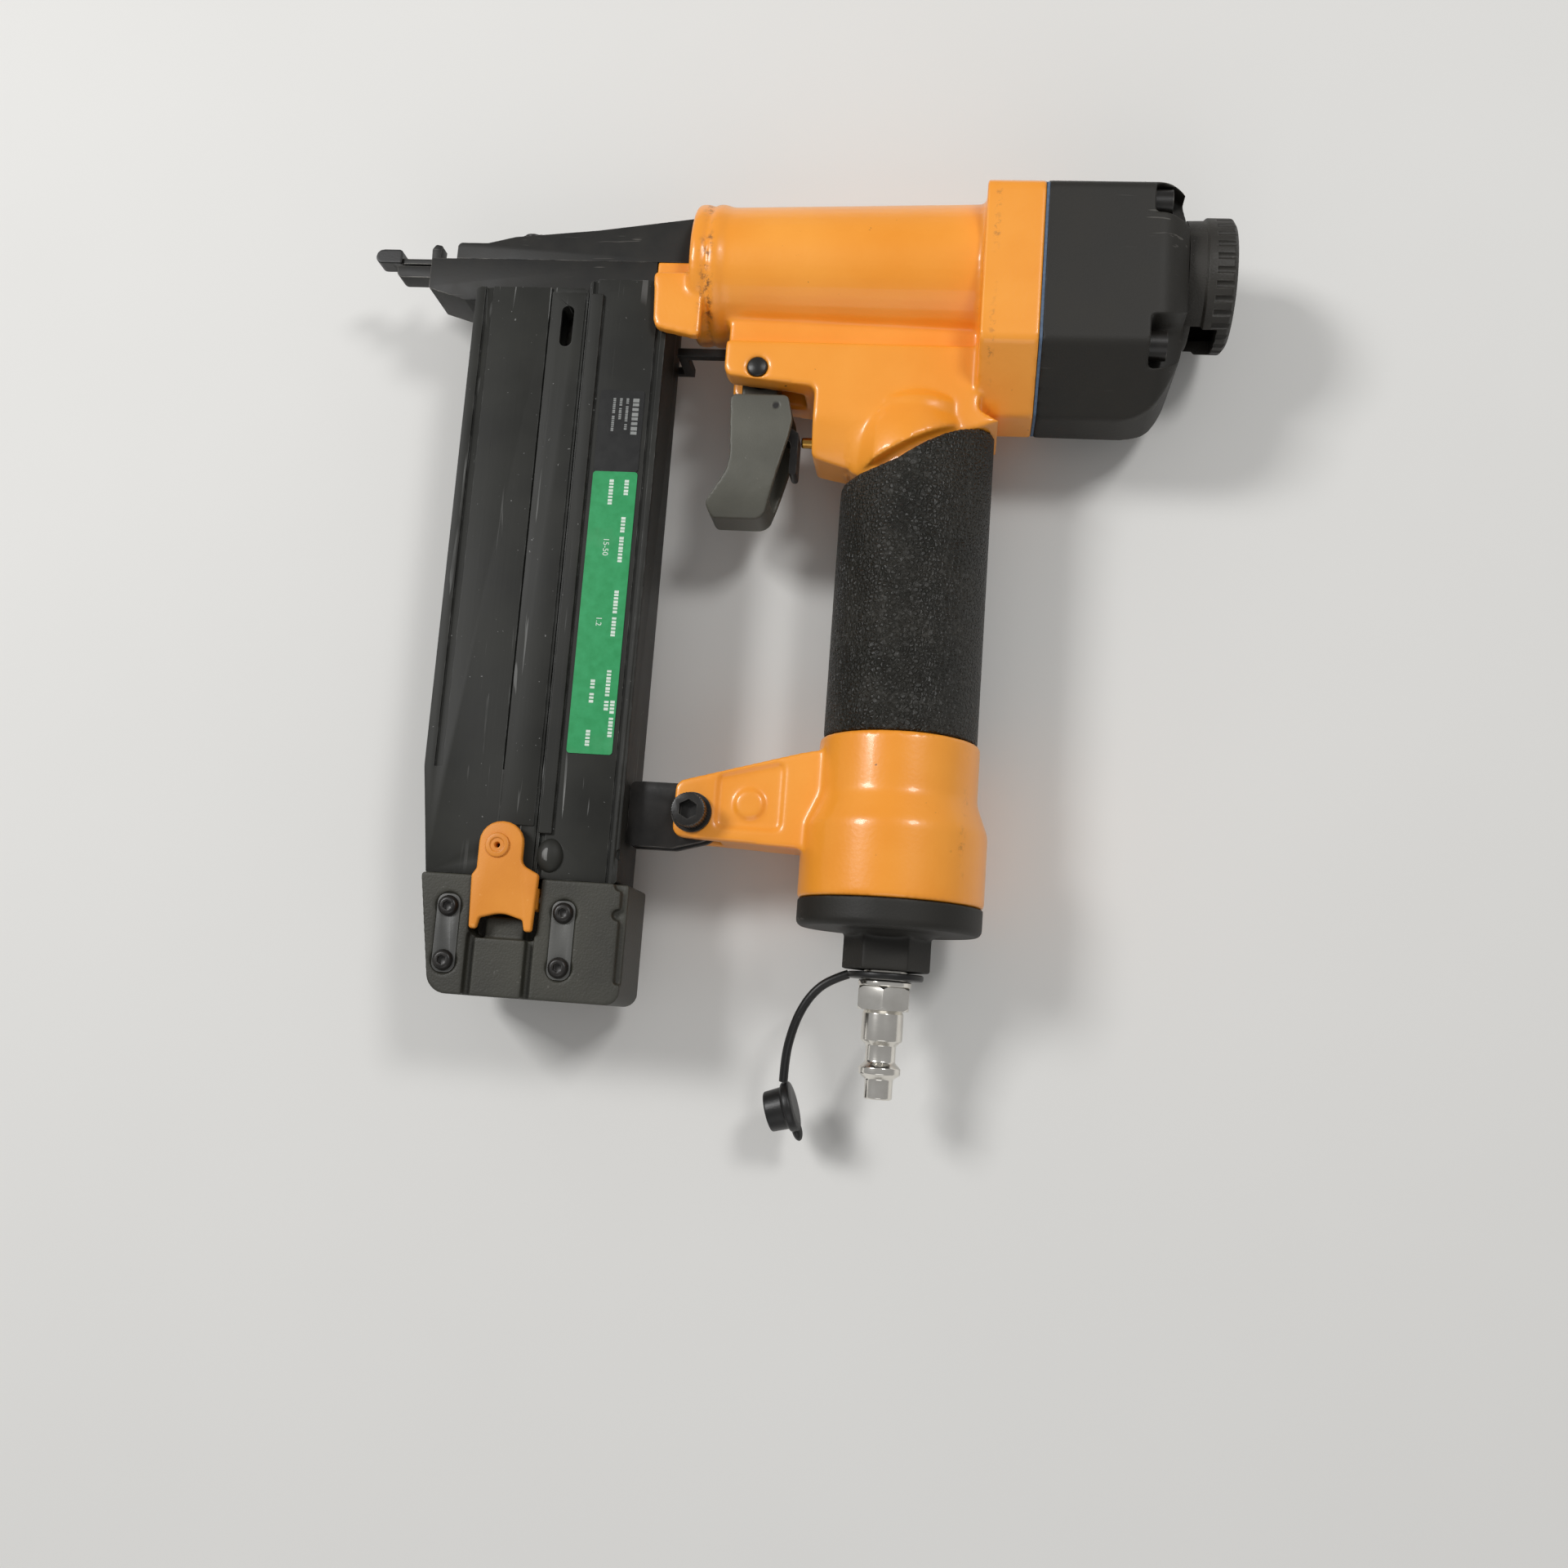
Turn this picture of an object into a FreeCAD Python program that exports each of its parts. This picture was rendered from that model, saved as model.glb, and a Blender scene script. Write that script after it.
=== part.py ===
import FreeCAD, Part
import math
import os
import Sketcher

# A pneumatic brad nailer lying on its side.
#
# The pieces are drawn in the tool's own axes and then moved together into the part's frame:
#   X  along the driver, from the nose (-) to the exhaust knob (+), zero at the head joint
#   Y  from the air plug (-) up to the top of the head (+), zero on the driver's axis
#   Z  across the tool, zero on its plane of symmetry
# Distances ahead of the head joint or below the driver's axis are stored as positive numbers.

document = FreeCAD.newDocument("BradNailer")
sheet = document.addObject("Spreadsheet::Sheet", "Sizes")

SIZES = {
    # Clearances and small fits
    "seat_gap": 0.1,           # between pieces that are clamped or fixed face to face
    "slide_gap": 0.3,          # beside pieces that move
    "pin_gap": 0.05,           # round a pin or piston in its bore
    # Head section, shared by the housing's flange, the gasket and the cap
    "head_top": 24.0,
    "head_half_width": 27.0,
    "head_top_half_width": 17.0,
    "head_shoulder": 18.0,
    "head_side_bottom": 30.0,
    "head_bottom": 46.0,
    "head_bottom_half_width": 8.0,
    "head_corner_radius": 3.0,
    "flange_front": 18.5,
    "joint_front": 1.5,
    "gasket_thickness": 0.8,
    # Head cap
    "cap_rear": 40.2,
    "cap_step": 35.6,
    "cap_step_height": 21.5,
    "cap_shoulder_radius": 7.0,
    "cap_heel_radius": 18.0,
    "cap_screw_seat": 29.5,
    "cap_cavity_depth": 24.0,
    "cap_wall": 5.8,
    "exhaust_port_radius": 4.0,
    "exhaust_port_circle": 11.0,
    "upper_screw_height": 14.2,
    "upper_screw_edge": 5.5,
    "lower_screw_drop": 28.3,
    "lower_screw_edge": 7.0,
    "cap_screw_radius": 2.5,
    "cap_screw_head_radius": 4.2,
    "cap_screw_head_length": 5.0,
    "cap_screw_depth": 12.0,
    # Exhaust deflector
    "knob_radius": 19.5,
    "knob_neck_radius": 18.6,
    "knob_neck_end": 45.0,
    "knob_end": 54.5,
    "knob_edge_radius": 3.5,
    "knob_wall": 3.0,
    "knob_port_width": 17.0,
    "knob_screw_radius": 2.5,
    "knob_screw_head_radius": 4.5,
    "knob_screw_head_length": 4.0,
    "knob_recess_depth": 4.5,
    # Barrel and what runs in it
    "barrel_front": 106.0,
    "barrel_front_radius": 20.1,
    "barrel_rear_radius": 22.4,
    "barrel_bore_front": 103.0,
    "barrel_bore_radius": 18.6,
    "sleeve_outer_radius": 17.0,
    "sleeve_inner_radius": 15.5,
    "sleeve_rear": 4.0,
    "sleeve_flange_length": 3.0,
    "bumper_length": 7.4,
    "bumper_hole_radius": 5.0,
    "piston_rear": 0.6,
    "piston_length": 6.2,
    "piston_groove_width": 2.4,
    "piston_groove_depth": 1.7,
    "driver_half_height": 0.7,
    "driver_half_width": 1.6,
    "driver_reach": 117.5,
    "head_valve_length": 8.0,
    "head_valve_hole_radius": 11.0,
    "head_valve_lip_radius": 15.0,
    "head_valve_lip_length": 10.0,
    "lug_front": 117.4,
    "cheek_front": 116.8,
    "cheek_rear": 101.5,
    "cheek_top": 6.5,
    "cheek_bottom": 27.0,
    "cheek_thickness": 4.0,
    # Trigger web, valve and trigger
    "web_half_width": 14.0,
    "web_root_half_width": 9.5,
    "web_top": 26.6,
    "web_front": 93.5,
    "web_bottom_front": 37.5,
    "web_bottom_rear": 40.5,
    "valve_wall": 66.0,
    "valve_wall_bottom": 62.8,
    "valve_height": 53.0,
    "valve_radius": 7.0,
    "valve_length": 18.0,
    "stem_radius": 1.6,
    "stem_head_radius": 3.6,
    "stem_reach": 4.2,
    "trigger_pivot": 83.5,
    "trigger_pivot_drop": 35.0,
    "trigger_pin_radius": 3.0,
    "ear_half_width": 5.0,
    "ear_radius": 5.5,
    "trigger_half_width": 10.5,
    "trigger_wall": 2.4,
    "trigger_roof": 1.0,
    "trigger_front": 90.5,
    "trigger_top": 42.0,
    "trigger_bottom": 79.5,
    "trigger_tip": 97.0,
    "lever_pivot": 77.5,
    "lever_pivot_drop": 45.5,
    "lever_pin_radius": 1.0,
    "lever_half_width": 4.0,
    "lever_thickness": 2.2,
    "lever_length": 19.0,
    # Handle, grip, tank and arm
    "handle_axis": 34.7,
    "core_radius": 17.5,
    "dome_top": 35.0,
    "dome_shoulder": 44.0,
    "core_bore_radius": 13.5,
    "air_passage_radius": 7.0,
    "passage_bottom": 70.0,
    "core_bore_top": 76.0,
    "grip_radius": 22.4,
    "grip_bottom": 144.0,
    "tank_neck_radius": 23.3,
    "tank_neck_bottom": 161.0,
    "tank_inset": 0.2,
    "tank_shoulder": 170.0,
    "tank_bottom": 191.0,
    "tank_bore_radius": 22.6,
    "tank_bore_top": 166.0,
    "arm_half_width": 10.0,
    "arm_front": 98.0,
    "arm_root_top": 149.5,
    "arm_front_top": 160.0,
    "arm_bottom": 176.0,
    "arm_recess_depth": 1.2,
    "arm_recess_front": 86.0,
    "arm_recess_rear": 66.5,
    "arm_recess_front_top": 157.5,
    "arm_recess_rear_top": 152.5,
    "arm_boss_drop": 165.5,
    "arm_boss_radius": 4.0,
    # Tank end cap, air plug and its tether
    "end_cap_thickness": 7.8,
    "end_cap_inset": 0.2,
    "spigot_length": 7.0,
    "end_cap_neck_radius": 15.0,
    "end_cap_hex_top": 200.0,
    "end_cap_hex_bottom": 210.0,
    "end_cap_hex_flats": 22.0,
    "tether_ring_radius": 11.0,
    "tether_ring_height": 2.0,
    "plug_thread_radius": 6.2,
    "plug_thread_top": 197.0,
    "plug_collar_radius": 8.0,
    "plug_hex_top": 214.8,
    "plug_hex_flats": 14.3,
    "plug_hex_bottom": 221.0,
    "plug_shank_radius": 5.95,
    "plug_shank_bottom": 230.5,
    "plug_neck_radius": 4.3,
    "plug_neck_bottom": 236.5,
    "plug_collar_bottom": 239.5,
    "plug_nose_radius": 4.0,
    "plug_bottom": 246.0,
    "plug_bore_radius": 2.8,
    "strap_radius": 1.3,
    "dust_cap_radius": 7.3,
    "dust_cap_flange": 3.0,
    "dust_cap_cup_radius": 5.8,
    "dust_cap_length": 8.5,
    # Nose
    "guide_tip": 202.0,
    "guide_tip_drop": 3.8,
    "guide_tip_length": 13.0,
    "guide_step": 177.0,
    "guide_step_drop": 10.0,
    "guide_tip_half_width": 3.4,
    "guide_drop": 13.6,
    "plate_front": 181.0,
    "plate_front_height": 5.2,
    "plate_level_end": 171.5,
    "plate_step": 163.0,
    "plate_step_height": 7.4,
    "plate_bend": 137.0,
    "plate_bend_height": 10.0,
    "plate_rear_height": 14.5,
    "plate_half_width": 9.0,
    "nose_screw_radius": 1.8,
    "nose_screw_head_radius": 3.0,
    "nose_screw_head_length": 2.6,
    "nose_screw_front": 158.0,
    "nose_screw_middle": 133.0,
    "nose_screw_rear": 112.0,
    "nose_screw_depth": 9.0,
    "nose_screw_side": 5.3,
    "front_screw_seat": 6.4,
    "rear_screw_seat": 5.0,
    "tip_front": 209.5,
    "tip_length": 8.5,
    "tip_height": 5.6,
    "tip_drop": 1.0,
    "tip_half_width": 3.2,
    "arm_plate_thickness": 1.8,
    "arm_rear": 124.0,
    "arm_low": 1.2,
    "arm_plate_half_width": 2.2,
    "arm_tab_height": 7.4,
    "arm_wing_length": 6.0,
    "nose_spring_rear": 111.5,
    "contact_travel": 7.5,
    "side_bar_outer": 14.2,
    "link_clearance": 2.0,
    "link_width": 3.0,
    "link_rear": 86.5,
    "link_drop": 24.2,
    "link_height": 2.6,
    "arm_spring_radius": 1.9,
    # Magazine
    "magazine_half_width": 12.0,
    "slider_top": 14.2,
    "slider_cheek_top": 10.5,
    "fixed_cheek_top": 7.5,
    "slider_front": 172.5,
    "slider_rear": 137.2,
    "slider_waist": 160.0,
    "slider_foot_front": 168.6,
    "slider_wall": 2.6,
    "slider_cavity_half_height": 3.9,
    "magazine_rear": 112.4,
    "magazine_bottom": 191.0,
    "feed_half_height": 0.85,
    "rail_front": 165.0,
    "rail_thickness": 2.6,
    "window_front": 145.0,
    "window_rear": 141.0,
    "window_top": 16.5,
    "window_bottom": 29.5,
    "side_groove_depth": 0.8,
    "panel_line": 148.9,
    "brad_head": 118.5,
    "brad_length": 50.8,
    "brad_half_thickness": 0.6,
    "brad_strip_length": 76.2,
    "pusher_length": 20.0,
    "pusher_spring_radius": 1.3,
    "label_front": 130.5,
    "label_rear": 117.0,
    "label_top": 43.0,
    "label_joint": 68.5,
    "label_bottom": 154.0,
    "label_thickness": 0.25,
    "bracket_thickness": 2.2,
    "bracket_half_width": 4.9,
    "bracket_ear_radius": 6.5,
    "bracket_top": 160.0,
    "bracket_bottom": 179.0,
    "bolt_forward": 92.6,
    "bolt_drop": 169.0,
    "bolt_radius": 3.0,
    "bolt_head_radius": 5.0,
    "bolt_head_length": 6.0,
    "washer_radius": 5.8,
    "washer_thickness": 1.2,
    # Magazine end cap and latch
    "foot_half_width": 13.5,
    "foot_front": 169.5,
    "foot_bottom_front": 164.0,
    "foot_rear": 108.5,
    "foot_bottom": 225.5,
    "foot_corner_radius": 4.0,
    "gate_front": 153.8,
    "gate_rear": 133.8,
    "gate_bottom": 209.0,
    "gate_floor": 5.0,
    "foot_screw_front": 160.2,
    "foot_screw_rear": 126.5,
    "foot_screw_top": 200.5,
    "foot_screw_bottom": 216.0,
    "foot_screw_radius": 1.6,
    "foot_screw_head_radius": 3.0,
    "foot_screw_head_length": 1.6,
    "strip_width": 7.0,
    "strip_thickness": 1.0,
    "latch_pivot_drop": 197.0,
    "latch_pivot_height": 10.0,
    "latch_pin_radius": 1.25,
    "latch_tab_radius": 7.0,
    "latch_tab_forward": 146.8,
    "latch_tab_drop": 182.5,
    "latch_thickness": 2.4,
    "latch_notch_drop": 203.0,
    "latch_lift": 2.0,
    "latch_rivet_radius": 3.6,
}


class Size:
    """A length that carries both its number and the sheet expression that gives it."""

    def __init__(self, number, text):
        self.number = float(number)
        self.text = text

    def __add__(self, other):
        other = size(other)
        return Size(self.number + other.number, f"({self.text} + {other.text})")

    def __sub__(self, other):
        other = size(other)
        return Size(self.number - other.number, f"({self.text} - {other.text})")

    def __mul__(self, other):
        other = size(other)
        return Size(self.number * other.number, f"({self.text} * {other.text})")

    def __truediv__(self, other):
        other = size(other)
        return Size(self.number / other.number, f"({self.text} / {other.text})")

    def __neg__(self):
        return Size(-self.number, f"(0 - {self.text})")

    __radd__ = __add__

    def __rsub__(self, other):
        return size(other) - self

    __rmul__ = __mul__


def size(value):
    """Wraps a plain number, so that numbers and sizes mix in one sum."""
    return value if isinstance(value, Size) else Size(value, f"({float(value)})")


class SizeTable:
    """The sheet's aliases as attributes, such as S.head_top."""


def fill_sheet():
    table = SizeTable()
    for row, (alias, number) in enumerate(SIZES.items(), start=1):
        sheet.set(f"A{row}", alias)
        sheet.set(f"B{row}", str(number))
        sheet.setAlias(f"B{row}", alias)
        setattr(table, alias, Size(number, f"Sizes.{alias}"))
    document.recompute()
    return table


S = fill_sheet()

# ---------------------------------------------------------------- places used by several pieces

GAP = S.seat_gap
SLIDE = S.slide_gap
JOINT = -S.joint_front                              # rear face of the housing
CAP_FRONT = JOINT + S.gasket_thickness
HANDLE = -S.handle_axis
CAVITY_RADIUS = S.head_half_width - S.cap_wall
UPPER_SCREW_SIDE = S.head_half_width - S.upper_screw_edge
LOWER_SCREW_SIDE = S.head_half_width - S.lower_screw_edge
TANK_RADIUS = S.head_half_width - S.tank_inset
END_CAP_RADIUS = TANK_RADIUS - S.end_cap_inset

# The part's frame: the middle of the tool's length and height, on the plane it lies on.
SHIFT = ((S.tip_front - S.knob_end) / 2, (S.plug_bottom - S.head_top) / 2, S.head_half_width)

nodes = []


# ---------------------------------------------------------------- building blocks

def bind(item, path, value):
    value = size(value)
    item.setExpression(path, value.text)


def move(item, x=0, y=0, z=0, turn=None):
    """Stands an item at a place in the tool's axes, turned first if asked."""
    if turn is not None:
        item.Placement.Rotation = turn
    item.Placement.Base = FreeCAD.Vector(size(x).number, size(y).number, size(z).number)
    item_places[item.Name] = (size(x), size(y), size(z))
    for axis, value in zip("xyz", (x, y, z)):
        bind(item, f"Placement.Base.{axis}", value)
    return item


item_places = {}


def node(item, label):
    """Names a finished sub-part and carries it into the part's frame."""
    own = item_places.get(item.Name, (size(0), size(0), size(0)))
    move(item, *[place + shift for place, shift in zip(own, SHIFT)])
    item.Label = label
    nodes.append(item)
    return item


TO_X = FreeCAD.Rotation(FreeCAD.Vector(0, 1, 0), 90)
TO_Y = FreeCAD.Rotation(FreeCAD.Vector(1, 0, 0), -90)
TO_MINUS_Y = FreeCAD.Rotation(FreeCAD.Vector(1, 0, 0), 90)
TO_Z = FreeCAD.Rotation()
TO_MINUS_Z = FreeCAD.Rotation(FreeCAD.Vector(1, 0, 0), 180)


def cylinder(radius, length, x=0, y=0, z=0, turn=TO_Z):
    item = document.addObject("Part::Cylinder", "Cylinder")
    bind(item, "Radius", radius)
    bind(item, "Height", length)
    return move(item, x, y, z, turn)


def torus(ring_radius, wire_radius, x=0, y=0, z=0, turn=TO_Z):
    item = document.addObject("Part::Torus", "Torus")
    bind(item, "Radius1", ring_radius)
    bind(item, "Radius2", wire_radius)
    return move(item, x, y, z, turn)


def box(x, y, z):
    """A box between the two values of each pair."""
    item = document.addObject("Part::Box", "Box")
    for path, (low, high) in zip(("Length", "Width", "Height"), (x, y, z)):
        bind(item, path, size(high) - low)
    return move(item, x[0], y[0], z[0])


def hexagon(flats, length, x=0, y=0, z=0, turn=TO_Z):
    item = document.addObject("Part::Prism", "Hexagon")
    item.Polygon = 6
    bind(item, "Circumradius", size(flats) / 1.7320508)
    bind(item, "Height", length)
    return move(item, x, y, z, turn)


def joined(*items):
    item = document.addObject("Part::MultiFuse", "Joined")
    item.Shapes = list(items)
    return item


def cut(base, *tools):
    item = document.addObject("Part::Cut", "Cut")
    item.Base = base
    item.Tool = tools[0] if len(tools) == 1 else joined(*tools)
    return item


def spring(radius, wire, length, turns, x, y, z, turn):
    """A coil of round wire that starts at a place and runs along its turned Z."""
    helix = document.addObject("Part::Helix", "Coil")
    bind(helix, "Radius", radius)
    bind(helix, "Height", size(length) - size(wire) * 2)
    bind(helix, "Pitch", (size(length) - size(wire) * 2) / turns)
    ring = document.addObject("Part::Circle", "Wire")
    bind(ring, "Radius", wire)
    ring.Placement.Rotation = TO_Y
    bind(ring, "Placement.Base.x", radius)
    for path in (helix, ring):
        bind(path, "Placement.Base.z", wire)
    item = document.addObject("Part::Sweep", "Spring")
    item.Sections = [ring]
    item.Spine = (helix, [])
    item.Solid = True
    item.Frenet = True
    return move(item, x, y, z, turn)


def wide_spring(radius, wire, length, turns, x, y, z, turn):
    """A coil of short straight lengths, for one that is wide for its wire."""
    steps = 16
    radius, wire, length = size(radius).number, size(wire).number, size(length).number
    pitch = (length - wire * 2) / turns
    points = [FreeCAD.Vector(radius * math.cos(2 * math.pi * i / steps),
                             radius * math.sin(2 * math.pi * i / steps),
                             wire + pitch * i / steps) for i in range(steps * turns + 1)]
    ring = Part.Wire(Part.makeCircle(wire, points[0], points[1] - points[0]))
    mitred = 1
    item = document.addObject("Part::Feature", "Spring")
    item.Shape = Part.makePolygon(points).makePipeShell([ring], True, False, mitred)
    return move(item, x, y, z, turn)


def body():
    return document.addObject("PartDesign::Body", "Body")


def corner_points(previous, here, following, radius):
    """Where a fillet of this radius starts and ends at a corner, and its centre."""
    start = (previous - here).normalize()
    end = (following - here).normalize()
    half = start.getAngle(end) / 2
    reach = radius / math.tan(half)
    middle = (start + end).normalize() * (radius / math.sin(half))
    return here + start * reach, here + end * reach, here + middle


def vector(point):
    return FreeCAD.Vector(size(point[0]).number, size(point[1]).number, 0)


def pin_point(sketch, index, end, point):
    """Ties one end of a sketch curve to its two coordinates."""
    for kind, value in zip(("DistanceX", "DistanceY"), point):
        constraint = Sketcher.Constraint(kind, -1, 1, index, end, size(value).number)
        number = sketch.addConstraint(constraint)
        if isinstance(value, Size):
            bind(sketch, f"Constraints[{number}]", value)


def draw_outline(sketch, points):
    """A closed outline of straight runs; a point's third value rounds its corner."""
    count = len(points)
    places = [vector(point) for point in points]
    rounds = [size(point[2]).number if len(point) > 2 else 0 for point in points]
    starts, ends, arcs = list(places), list(places), {}
    for i in range(count):
        if rounds[i]:
            before, after, centre = corner_points(places[i - 1], places[i],
                                                  places[(i + 1) % count], rounds[i])
            ends[i], starts[i] = before, after
            middle = centre + (places[i] - centre).normalize() * rounds[i]
            turns_left = (before - centre).cross(after - centre).z > 0
            arcs[i] = (turns_left, Part.Arc(before, middle, after) if turns_left
                       else Part.Arc(after, middle, before))
    lines = [sketch.addGeometry(Part.LineSegment(starts[i], ends[(i + 1) % count]), False)
             for i in range(count)]
    for i in range(count):
        before, after = lines[i - 1], lines[i]
        if i not in arcs:
            sketch.addConstraint(Sketcher.Constraint("Coincident", before, 2, after, 1))
            pin_point(sketch, after, 1, points[i])
            continue
        turns_left, curve = arcs[i]
        arc = sketch.addGeometry(curve, False)
        first = 1 if turns_left else 2
        corner = sketch.addGeometry(Part.Point(places[i]), True)
        sketch.addConstraint(Sketcher.Constraint("Tangent", before, 2, arc, first))
        sketch.addConstraint(Sketcher.Constraint("Tangent", arc, 3 - first, after, 1))
        sketch.addConstraint(Sketcher.Constraint("PointOnObject", corner, 1, before))
        sketch.addConstraint(Sketcher.Constraint("PointOnObject", corner, 1, after))
        radius = sketch.addConstraint(Sketcher.Constraint("Radius", arc, rounds[i]))
        bind(sketch, f"Constraints[{radius}]", points[i][2])
        pin_point(sketch, corner, 1, points[i])


def draw_circle(sketch, x, y, radius):
    circle = Part.Circle(vector((x, y)), FreeCAD.Vector(0, 0, 1), size(radius).number)
    index = sketch.addGeometry(circle, False)
    pin_point(sketch, index, 3, (x, y))
    number = sketch.addConstraint(Sketcher.Constraint("Radius", index, size(radius).number))
    bind(sketch, f"Constraints[{number}]", radius)


def draw(owner, plane, outlines=(), circles=(), at=0, name="Outline"):
    """A sketch on one of a body's own planes, at a height along that plane's normal."""
    sketch = owner.newObject("Sketcher::SketchObject", name)
    origin = [item for item in owner.Origin.OriginFeatures if item.Role == plane][0]
    sketch.AttachmentSupport = [(origin, "")]
    sketch.MapMode = "FlatFace"
    bind(sketch, "AttachmentOffset.Base.z", at)
    for outline in outlines:
        draw_outline(sketch, outline)
    for circle in circles:
        draw_circle(sketch, *circle)
    document.recompute()
    return sketch


def pad(owner, sketch, length, both_ways=False):
    item = owner.newObject("PartDesign::Pad", "Pad")
    item.Profile = (sketch, [""])
    item.SideType = "Symmetric" if both_ways else "One side"
    bind(item, "Length", length)
    document.recompute()
    return item


def pocket(owner, sketch, length, both_ways=False, forward=False):
    """Cuts against the sketch's normal, along it when forward, or half each way."""
    before = owner.Shape.Volume
    item = owner.newObject("PartDesign::Pocket", "Pocket")
    item.Profile = (sketch, [""])
    item.SideType = "Symmetric" if both_ways else "One side"
    item.Reversed = forward
    bind(item, "Length", length)
    document.recompute()
    if item.Shape.Volume >= before - 1e-6:
        raise RuntimeError(f"{sketch.Name} cuts nothing")
    return item


def turned(owner, profile, kind="Revolution", about_y=None):
    """A profile in the XY plane turned about X, or about a line along Y."""
    sketch = draw(owner, "XY_Plane", [profile], name="Profile")
    axis = "H_Axis"
    if about_y is not None:
        foot, top = vector((about_y, 0)), vector((about_y, 10))
        line = sketch.addGeometry(Part.LineSegment(foot, top), True)
        pin_point(sketch, line, 1, (about_y, 0))
        pin_point(sketch, line, 2, (about_y, 10))
        axis = "Axis0"
    item = owner.newObject(f"PartDesign::{kind}", kind)
    item.Profile = (sketch, [""])
    item.ReferenceAxis = (sketch, [axis])
    item.Angle = 360
    document.recompute()
    return item


def screws(places, turn, head, shank, socket):
    """Socket-head screws that stand at their seats: head and shank are (radius, length)."""
    parts, sockets = [], []
    outward = turn.multVec(FreeCAD.Vector(0, 0, 1))
    direction = [round(value) for value in outward]
    for place in places:
        foot = [at - shank[1] * step for at, step in zip(place, direction)]
        mouth = [at + head[1] * 0.45 * step for at, step in zip(place, direction)]
        parts += [cylinder(*head, *place, turn), cylinder(*shank, *foot, turn)]
        sockets.append(hexagon(socket, head[1], *mouth, turn))
    return cut(joined(*parts), *sockets)


# ---------------------------------------------------------------- head section

def head_outline(inset=0):
    """The head seen along X, as (Y, Z) points."""
    half, top, low = (S.head_half_width - inset, S.head_top_half_width,
                      S.head_bottom_half_width)
    right = [(S.head_top - inset, top), (S.head_shoulder, half),
             (-S.head_side_bottom, half), (-S.head_bottom + inset, low)]
    left = [(y, -z) for y, z in reversed(right)]
    return [(y, z, S.head_corner_radius) for y, z in right + left]


CAP_SCREWS = [(y, z * side) for y, z in ((S.upper_screw_height, UPPER_SCREW_SIDE),
                                         (-S.lower_screw_drop, LOWER_SCREW_SIDE))
              for side in (1, -1)]


def grip_edge(drop=0):
    """The upper edge of the rubber grip, where the web's face meets it."""
    points = [(-60, -68.6), (-54, -68), (-46, -66.5), (-40, -64.5), (-33, -60),
              (-27, -56.4), (-21.5, -53.6), (-15, -51), (-8, -48)]
    return [(S.handle_axis * x / 34.7, y - drop) for x, y in points]


# ---------------------------------------------------------------- housing

def main_housing():
    item = body()
    pad(item, draw(item, "YZ_Plane", [head_outline()], at=-S.flange_front),
        S.flange_front - S.joint_front)
    turned(item, [(-S.barrel_front, 0), (-S.barrel_front, S.barrel_front_radius, 1.5),
                  (-S.flange_front + 1, S.barrel_rear_radius), (-S.flange_front + 1, 0)])
    lug = [(-S.barrel_front + 2, 0), (-S.lug_front, 0), (-S.lug_front, -S.guide_drop),
           (-S.barrel_front + 2, -S.guide_drop)]
    pad(item, draw(item, "XY_Plane", [lug], name="Lug"), S.plate_half_width * 2, True)
    cheek = [(-S.cheek_front, -S.cheek_top, 1), (-S.cheek_front + 1.2, -S.cheek_bottom + 3, 3),
             (-S.cheek_rear, -S.cheek_bottom, 1), (-S.cheek_rear, -S.cheek_top)]
    pad(item, draw(item, "XY_Plane", [cheek], at=S.magazine_half_width + GAP, name="Cheek"),
        S.cheek_thickness)
    turned(item, [(HANDLE, -S.dome_top), (HANDLE + S.core_radius / 2, -S.dome_top, 5),
                  (HANDLE + S.core_radius, -S.dome_shoulder, 3),
                  (HANDLE + S.core_radius, -S.grip_bottom - GAP),
                  (HANDLE + S.tank_neck_radius, -S.grip_bottom - GAP),
                  (HANDLE + S.tank_neck_radius, -S.tank_neck_bottom, 6),
                  (HANDLE + TANK_RADIUS, -S.tank_shoulder, 6),
                  (HANDLE + TANK_RADIUS, -S.tank_bottom), (HANDLE, -S.tank_bottom)],
           about_y=HANDLE)
    edge = grip_edge()
    root = [(-S.web_front, -8), (-S.web_front, -S.web_top - 4),
            (-S.flange_front + 1, -S.web_top - 4), (-S.flange_front + 1, -8)]
    pad(item, draw(item, "XY_Plane", [root], name="WebRoot"), S.web_root_half_width * 2, True)
    web = [(-S.web_front, -S.web_top, 1), (-S.web_front, -S.web_bottom_front, 3),
           (-S.valve_wall, -S.web_bottom_rear, 1.5), (-S.valve_wall, -S.valve_wall_bottom, 3),
           *edge[1:-1], (-11.5, -49.5), (-S.flange_front + 1, -46),
           (-S.flange_front + 1, -S.web_top)]
    pad(item, draw(item, "XY_Plane", [web], name="Web"), S.web_half_width * 2, True)
    arm = [(HANDLE, -S.arm_root_top + 5), (HANDLE - TANK_RADIUS, -S.arm_root_top, 3),
           (-S.arm_front, -S.arm_front_top, 3), (-S.arm_front, -S.arm_bottom, 3),
           (HANDLE - TANK_RADIUS, -S.arm_bottom - 1.5, 3), (HANDLE, -S.arm_bottom - 14)]
    pad(item, draw(item, "XY_Plane", [arm], name="Arm"), S.arm_half_width * 2, True)
    housing_cuts(item)
    return node(item, "main_housing")


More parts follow.
